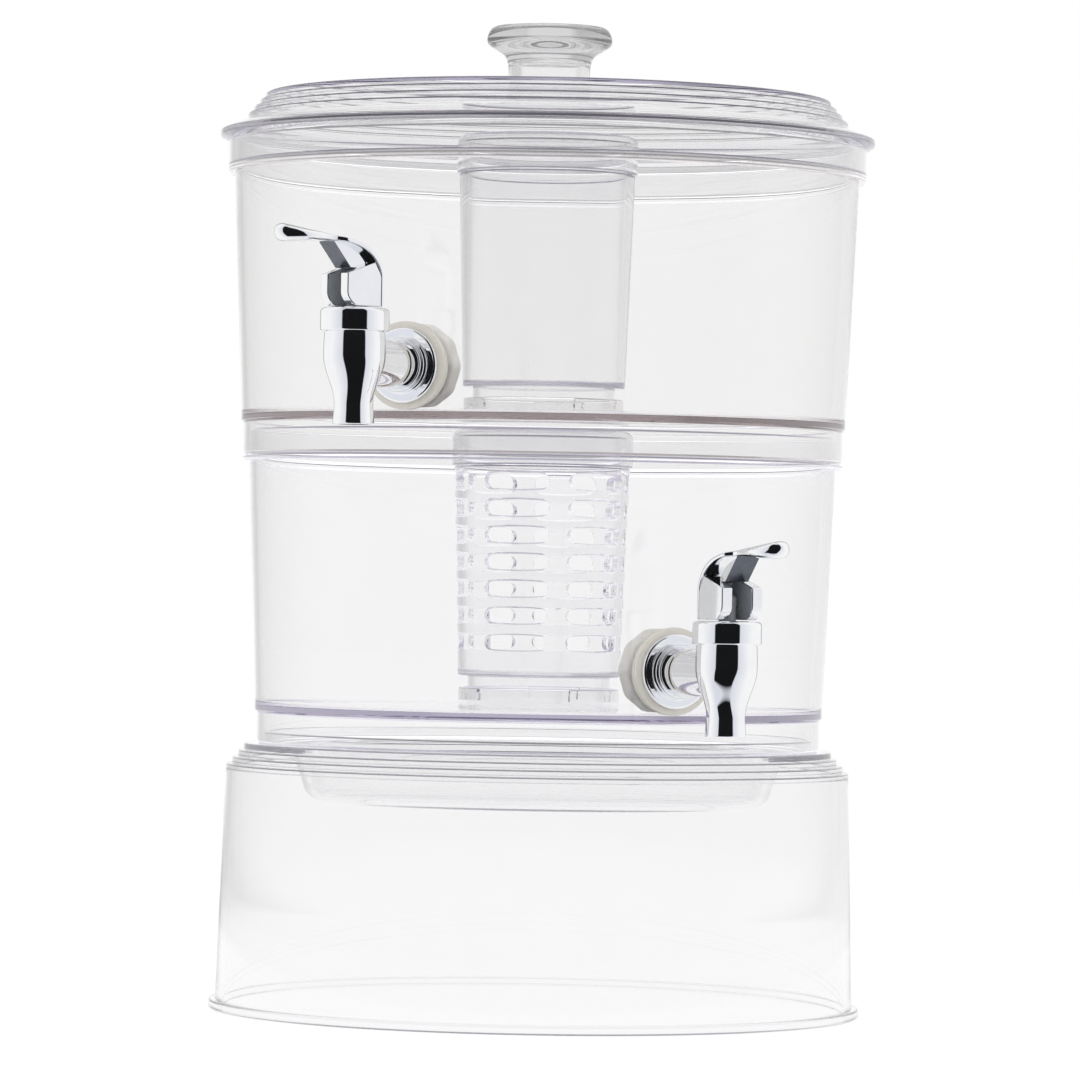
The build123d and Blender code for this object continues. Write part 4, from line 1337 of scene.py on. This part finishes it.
class LeverShape:
    """Lines of a lever's side view, outward from the stem and up from the bonnet's top."""

    def __init__(self, size):
        self.size = size
        self.inner = size.width / 2 - size.cheek
        self.outer = size.width / 2 - size.brim
        self.slot_rise = self.cheek_rise(size.web_foot) + size.slot_over
        tip = (size.tip_reach, size.tip_rise)
        level = (-1, -0.12)
        crest_slope = (-1, -0.15)
        hood_slope = (-1, -0.22)
        brow_slope = (-1, -0.75)
        down = (0, -1)
        over = [
            (size.crest_reach, size.crest_rise),
            (size.hood_reach, size.hood_rise),
            (-size.brow_setback, size.brow_rise),
            (-size.back, size.spine),
            (-size.back, size.gap),
        ]
        inward = unit((-brow_slope[1], brow_slope[0]))
        brow_under = tuple(p + size.hood * d for p, d in zip(over[2], inward))
        under = [
            (size.lip_reach, size.lip_rise),
            (size.hood_reach, size.hood_rise - size.hood),
            brow_under,
            (size.back_wall - size.back, size.spine),
            (size.back_wall - size.back, size.gap),
        ]
        self.over = flowing([tip, *over], [(0, 1), crest_slope, hood_slope, brow_slope, down, down])
        self.under = flowing([tip, *under], [down, level, level, brow_slope, down, down])
        self.middle = [tuple((a + b) / 2 for a, b in zip(*pair)) for pair in zip(self.over, self.under)]
        self.plan = flowing(
            [
                (size.nose, size.width / 2),
                (size.neck_reach, size.neck / 2),
                (size.broad_reach, size.paddle / 2),
                (size.tip_reach, 0),
            ],
            [(1, 0), (1, 0), (1, 0), down],
        )

    def cheek_rise(self, reach):
        """Height of the cheeks' sloping top at a reach from the stem."""
        size = self.size
        slope = (size.nose_rise - size.crown_rise) / (size.nose + size.crown_setback)
        return size.crown_rise + slope * (reach + size.crown_setback)

    def half_width(self, reach):
        """Half the blade's width at a reach from the stem."""
        for (near, wide), (far, slim) in zip(self.plan, self.plan[1:]):
            if near <= reach <= far:
                return wide + (slim - wide) * (reach - near) / (far - near)
        return 0.0 if reach > self.size.tip_reach else self.size.width / 2

    def squareness(self, reach):
        """How square the blade's section is at a reach: round at the paddle, square at the hood."""
        size = self.size
        share = (size.broad_reach - reach) / (size.broad_reach - size.nose)
        return size.paddle_square + max(0.0, min(1.0, share)) * (size.hood_square - size.paddle_square)

    def cheek_outline(self):
        """One cheek from the back of its foot round the nose and up into the hood."""
        size = self.size
        foot = size.gap + FOOT_LIFT * size.gap
        seam = size.back_wall / 2 - size.back
        hidden = -size.crown_setback - size.back_wall / 2
        toe = flowing([(size.toe, foot), (size.nose, size.nose_low)], [(1, 0.4), (0, 1)], TOE_STEPS)
        top = [(size.nose, size.nose_rise), (hidden, self.cheek_rise(hidden))]
        return [(seam, foot), *toe, *top, (seam, size.spine)]

    def web_outline(self):
        """The web from the slot's roof up along its front and back inside the hood."""
        size = self.size
        top = (size.web_top, size.hood_rise - size.hood)
        foot = (size.web_foot, self.cheek_rise(size.web_foot))
        run, rise = top[0] - foot[0], top[1] - foot[1]
        share = size.slot_over / rise
        into = HOOD_BITE * size.hood / math.hypot(run, rise)
        front = [(foot[0] + share * run, self.slot_rise), (top[0] + into * run, top[1] + into * rise)]
        far = size.web_top - size.hood
        inside = [point for point in self.middle if -size.brow_setback < point[0] < far]
        return [*front, *inside, (-size.crown_setback - size.back_wall, self.slot_rise)]


def lever_blade(shape):
    """The hood and the paddle in one: a ball drawn out along the lever's upper and under lines."""
    size = shape.size
    rings = len(shape.over)
    bpy.ops.object.select_all(action="DESELECT")
    bpy.ops.mesh.primitive_uv_sphere_add(segments=size.sides, ring_count=rings, radius=1.0)
    piece = named(bpy.context.object, "blade")
    for vertex in piece.data.vertices:
        ring = round(math.acos(max(-1.0, min(1.0, vertex.co.z))) / math.pi * rings)
        over, under = shape.over[min(ring, rings - 1)], shape.under[min(ring, rings - 1)]
        middle = shape.middle[min(ring, rings - 1)]
        around = math.atan2(vertex.co.y, vertex.co.x)
        power = 2 / shape.squareness(middle[0])
        across = math.copysign(abs(math.cos(around)) ** power, math.cos(around))
        raised = math.copysign(abs(math.sin(around)) ** power, math.sin(around))
        if ring in (0, rings):
            across = raised = 0.0
        reach, rise = (m + raised * (a - b) / 2 for m, a, b in zip(middle, over, under))
        vertex.co = (reach, across * shape.half_width(middle[0]), rise)
    return tidy(piece)


class DISPENSER_OT_levers(Operator):
    """Shape the chrome levers: a hooded blade with a spoon paddle, joined to a web and two cheeks"""

    bl_idname = "dispenser.levers"
    bl_label = "Levers"

    def execute(self, context):
        size = settings("lever")
        shape = LeverShape(size)
        lever = lever_blade(shape)
        web = [(u, -size.web / 2, v) for u, v in shape.web_outline()]
        lever = worked(lever, slab("web", web, (0, size.web, 0)), "UNION")
        for flank in (1, -1):
            cheek = [(u, flank * shape.inner, v) for u, v in shape.cheek_outline()]
            cheek = slab("cheek", cheek, (0, flank * (shape.outer - shape.inner), 0))
            lever = worked(lever, bevelled(cheek, size.edge), "UNION")
        tidy(lever, CRISP_ANGLE)
        for side in TIERS:
            copy = named(copied(lever, Matrix()), f"{side}_lever_casting")
            self.line_recess(copy, shape)
            moved(copy, lever_place(side))
            dress(copy, "chrome", f"{side}_handle", f"{side}_lever", *LEVER_FINISHES)
        bpy.data.objects.remove(lever)
        return {"FINISHED"}

    def line_recess(self, lever, shape):
        """Paint shade on the slot between the cheeks with one dark finish, and on the web's front with
        another.
        """
        size = shape.size
        seam = size.back_wall / 2 - size.back
        for face in lever.data.polygons:
            reach, across, rise = face.center
            low = size.gap + WELD < rise < shape.slot_rise + WELD
            in_slot = low and seam < reach and abs(across) < shape.inner + WELD
            on_web = abs(across) < size.web / 2 - WELD and reach < size.neck_reach
            in_front = face.normal.x > WEB_FRONT and face.normal.z < WEB_UNDER
            face.material_index = 1 if in_slot else 2 * int(on_web and in_front and rise > shape.slot_rise)


class DISPENSER_OT_fixings(Operator):
    """Finish the gaskets and nuts that hold the spigots in the tank walls"""

    bl_idname = "dispenser.fixings"
    bl_label = "Gaskets and Nuts"

    def execute(self, context):
        size = settings("spigot")
        for side in TIERS:
            for part, finish, slot, width in (
                ("outer_gasket", "gasket_silicone", "gasket", size.moulded_edge),
                ("inner_gasket", "gasket_silicone", "gasket", size.moulded_edge),
                ("shank_nut", "nut_nylon", "nut", size.nut_edge),
            ):
                piece = kept(f"{side}_{part}", f"{side}_{part}_moulding")
                tidy(bevelled(piece, width))
                dress(piece, slot, f"{side}_tier", f"{side}_{part}", finish)
        return {"FINISHED"}


class DISPENSER_OT_valves(Operator):
    """Finish the stems, plugs and pins, and give each spring a smoothed coil with a mesh of its own"""

    bl_idname = "dispenser.valves"
    bl_label = "Valve Parts"

    def execute(self, context):
        finishes = {
            "valve_stem": "stem_acetal",
            "seat_plug": "plug_silicone",
            "lever_pin": "drawn_steel",
        }
        for side in TIERS:
            for part, finish in finishes.items():
                node = frame["nodes"][f"{side}_{part}"]
                node.data.materials.clear()
                node.data.materials.append(material(finish))
            spring = f"{side}_return_spring"
            coil = kept(spring, f"{side}_return_coil")
            dress(coil, "steel", f"{side}_head", spring, "drawn_steel")
            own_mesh(coil)
        return {"FINISHED"}


def off_front(tree, vector):
    """The angle of a direction or a place from the front, and how far it is right, front and up."""
    axes = add(tree, "SeparateXYZ", {"Vector": vector}).outputs
    forward = maths(tree, "MULTIPLY", axes["Y"], -1.0)
    bearing = maths(tree, "ARCTAN2", axes["X"], forward)
    return maths(tree, "ABSOLUTE", bearing), axes["X"], forward, axes["Z"]


def ray_kinds(tree):
    """Sockets for the rays that show the surroundings, those mirrored in metal and the camera's own."""
    light = add(tree, "LightPath", {}).outputs
    seen = maths(tree, "MAXIMUM", light["Is Camera Ray"], light["Is Transmission Ray"])
    seen = maths(tree, "MAXIMUM", seen, light["Is Glossy Ray"])
    seen = maths(tree, "MULTIPLY", seen, maths(tree, "LESS_THAN", light["Diffuse Depth"], 0.5))
    plated = maths(tree, "SUBTRACT", light["Is Glossy Ray"], light["Is Singular Ray"])
    return seen, maths(tree, "MAXIMUM", plated, 0.0), light["Is Camera Ray"]


def in_mirrors(tree, stage, bearing, full):
    """The tent's colour as metal mirrors it: dark in its gap, cool beside that, and grey behind."""
    low, high = stage.gap_half - stage.gap_soft, stage.gap_half + stage.gap_soft
    cloth = maths(tree, "MAXIMUM", ranged(tree, bearing, low, high, kind="SMOOTHSTEP"), full)
    rear = ranged(tree, bearing, stage.rear_start, stage.rear_end, 1.0, stage.rear, "SMOOTHSTEP")
    level = maths(tree, "MAXIMUM", maths(tree, "MULTIPLY", cloth, rear), stage.dark)
    shade = blended(tree, ranged(tree, bearing, high, high + stage.fade), stage.cool, stage.white)
    return add(tree, "VectorMath", {"Vector": shade, "Scale": level}, operation="SCALE").outputs["Vector"]


def through_clear(tree, stage, bearing, aside, by_camera):
    """The tent's level as clear plastic shows it: grey in front and at the sides, and white behind."""
    side = ranged(tree, aside, -stage.side_soft, stage.side_soft, stage.clear_left, stage.clear_right)
    front = ranged(tree, bearing, stage.dim_start, stage.dim_end, stage.clear_dark, side, "SMOOTHSTEP")
    back = ranged(tree, bearing, stage.back_start, stage.back_end, kind="SMOOTHSTEP")
    return maths(tree, "MAXIMUM", maths(tree, "MAXIMUM", front, back), by_camera)


class DISPENSER_OT_stage(Operator):
    """Set the white tent, its dark gap, the lamps, the ground and the camera"""

    bl_idname = "dispenser.stage"
    bl_label = "Stage"

    def execute(self, context):
        scene = context.scene
        stage = settings("stage")
        scene.view_settings.view_transform = "Standard"
        for kind in ("max_bounces", "transmission_bounces", "glossy_bounces"):
            setattr(scene.cycles, kind, BOUNCES)
        scene.cycles.transparent_max_bounces = LAYERS
        self.tent(scene, stage)
        self.lamps(scene, stage)
        self.ground(stage)
        self.camera(scene, stage)
        return {"FINISHED"}

    def tent(self, scene, stage):
        """White all round, with a gap in front that is dark in mirrors and grey through clear plastic."""
        scene.world = bpy.data.worlds.new("tent")
        tree = emptied(scene.world)
        bearing, aside, _, height = off_front(tree, add(tree, "TexCoord", {}).outputs["Generated"])
        roof = ranged(tree, height, stage.ceiling_low, stage.ceiling_high, kind="SMOOTHSTEP")
        mirrored = in_mirrors(tree, stage, bearing, roof)
        seen, in_metal, by_camera = ray_kinds(tree)
        shown = blended(tree, in_metal, through_clear(tree, stage, bearing, aside, by_camera), mirrored)
        matt = (stage.ambient, stage.ambient, stage.ambient, 1.0)
        background = add(tree, "Background", {"Color": blended(tree, seen, matt, shown), "Strength": 1.0})
        add(tree, "OutputWorld", {"Surface": background.outputs["Background"]})

    def lamps(self, scene, stage):
        """One broad lamp over the dispenser and one at each side."""
        front = -stage.lamp_front
        aim = Vector((0, 0, stage.aim))
        for name, place, watts in (
            ("lamp_over", (0, front, stage.lamp_height), stage.over_watts),
            ("lamp_left", (-stage.lamp_side, front, stage.lamp_level), stage.side_watts),
            ("lamp_right", (stage.lamp_side, front, stage.lamp_level), stage.side_watts),
        ):
            lamp = bpy.data.lights.new(name, "AREA")
            lamp.energy = watts
            lamp.size = stage.lamp_width
            holder = bpy.data.objects.new(name, lamp)
            holder.location = place
            holder.rotation_euler = (aim - Vector(place)).to_track_quat("-Z", "Y").to_euler()
            for kind in ("camera", "glossy", "transmission"):
                setattr(holder, f"visible_{kind}", False)
            scene.collection.objects.link(holder)

    def ground(self, stage):
        """A wide white ground that keeps the dispenser's shadow, dark in mirrors past its apron."""
        bpy.ops.object.select_all(action="DESELECT")
        bpy.ops.mesh.primitive_plane_add(size=stage.ground_size, location=(0, 0, -stage.ground_drop))
        ground = named(bpy.context.object, "ground")
        made = bpy.data.materials.new("ground_white")
        tree = emptied(made)
        place = add(tree, "TexCoord", {}).outputs["Object"]
        seen, in_metal, by_camera = ray_kinds(tree)
        far = add(tree, "VectorMath", {0: place}, operation="LENGTH").outputs["Value"]
        near = ranged(tree, far, stage.near, NEAR_FADE * stage.near, 1.0, 0.0)
        passed = through_clear(tree, stage, *off_front(tree, place)[:2], by_camera)
        passed = maths(tree, "MULTIPLY", maths(tree, "MAXIMUM", passed, near), stage.ground_white)
        middle = (0.0, -stage.mirrors, 0.0)
        place = add(tree, "VectorMath", {0: place, 1: middle}, operation="SUBTRACT").outputs["Vector"]
        bearing, _, forward, _ = off_front(tree, place)
        apron = ranged(tree, forward, stage.apron, APRON_FADE * stage.apron, 1.0, 0.0)
        mirrored = in_mirrors(tree, stage, bearing, apron)
        glow = add(tree, "Emission", {"Color": blended(tree, in_metal, passed, mirrored)})
        paint = add(tree, "BsdfDiffuse", {})
        share = maths(tree, "MAXIMUM", maths(tree, "MULTIPLY", seen, stage.ground_glow), in_metal)
        choice = mixed(tree, share, paint.outputs["BSDF"], glow.outputs["Emission"])
        add(tree, "OutputMaterial", {"Surface": choice})
        ground.data.materials.append(made)

    def camera(self, scene, stage):
        """A long lens, level with the lower tank's rim, rolled as the picture is."""
        lens = bpy.data.cameras.new("camera")
        lens.lens = stage.lens
        lens.sensor_width = stage.sensor
        lens.clip_end = 2 * stage.ground_size
        holder = bpy.data.objects.new("camera", lens)
        eye = Vector((stage.aside, -stage.distance, stage.eye))
        aim = Vector((stage.aside, 0, stage.aim)) - eye
        turned_to = aim.to_track_quat("-Z", "Y").to_matrix().to_4x4()
        holder.matrix_world = Matrix.Translation(eye) @ turned_to @ about_z(stage.roll)
        scene.collection.objects.link(holder)
        scene.camera = holder


OPERATORS = (
    DISPENSER_OT_stage,
    DISPENSER_OT_stand,
    DISPENSER_OT_tanks,
    DISPENSER_OT_lid,
    DISPENSER_OT_knob,
    DISPENSER_OT_tubes,
    DISPENSER_OT_caps,
    DISPENSER_OT_spouts,
    DISPENSER_OT_bonnets,
    DISPENSER_OT_levers,
    DISPENSER_OT_fixings,
    DISPENSER_OT_valves,
)


class DISPENSER_PT_panel(Panel):
    """Lists the dispenser's pieces in the sidebar"""

    bl_idname = "DISPENSER_PT_panel"
    bl_label = "Drink Dispenser"
    bl_space_type = "VIEW_3D"
    bl_region_type = "UI"
    bl_category = "Dispenser"

    def draw(self, context):
        for operator in OPERATORS:
            self.layout.operator(operator.bl_idname)
        for name in GROUPS:
            box = self.layout.box()
            group = getattr(context.scene, name)
            for key in group.bl_rna.properties.keys():
                if key not in {"rna_type", "name"}:
                    box.prop(group, key)


def register():
    for group in GROUPS.values():
        bpy.utils.register_class(group)
    for name, group in GROUPS.items():
        setattr(bpy.types.Scene, name, PointerProperty(type=group))
    for operator in OPERATORS:
        bpy.utils.register_class(operator)
    bpy.utils.register_class(DISPENSER_PT_panel)


def unregister():
    bpy.utils.unregister_class(DISPENSER_PT_panel)
    for operator in reversed(OPERATORS):
        bpy.utils.unregister_class(operator)
    for name, group in GROUPS.items():
        delattr(bpy.types.Scene, name)
        bpy.utils.unregister_class(group)


def main():
    """Register the add-on and make every piece in order."""
    register()
    for operator in OPERATORS:
        family, name = operator.bl_idname.split(".")
        getattr(getattr(bpy.ops, family), name)()


if __name__ == "__main__":
    main()
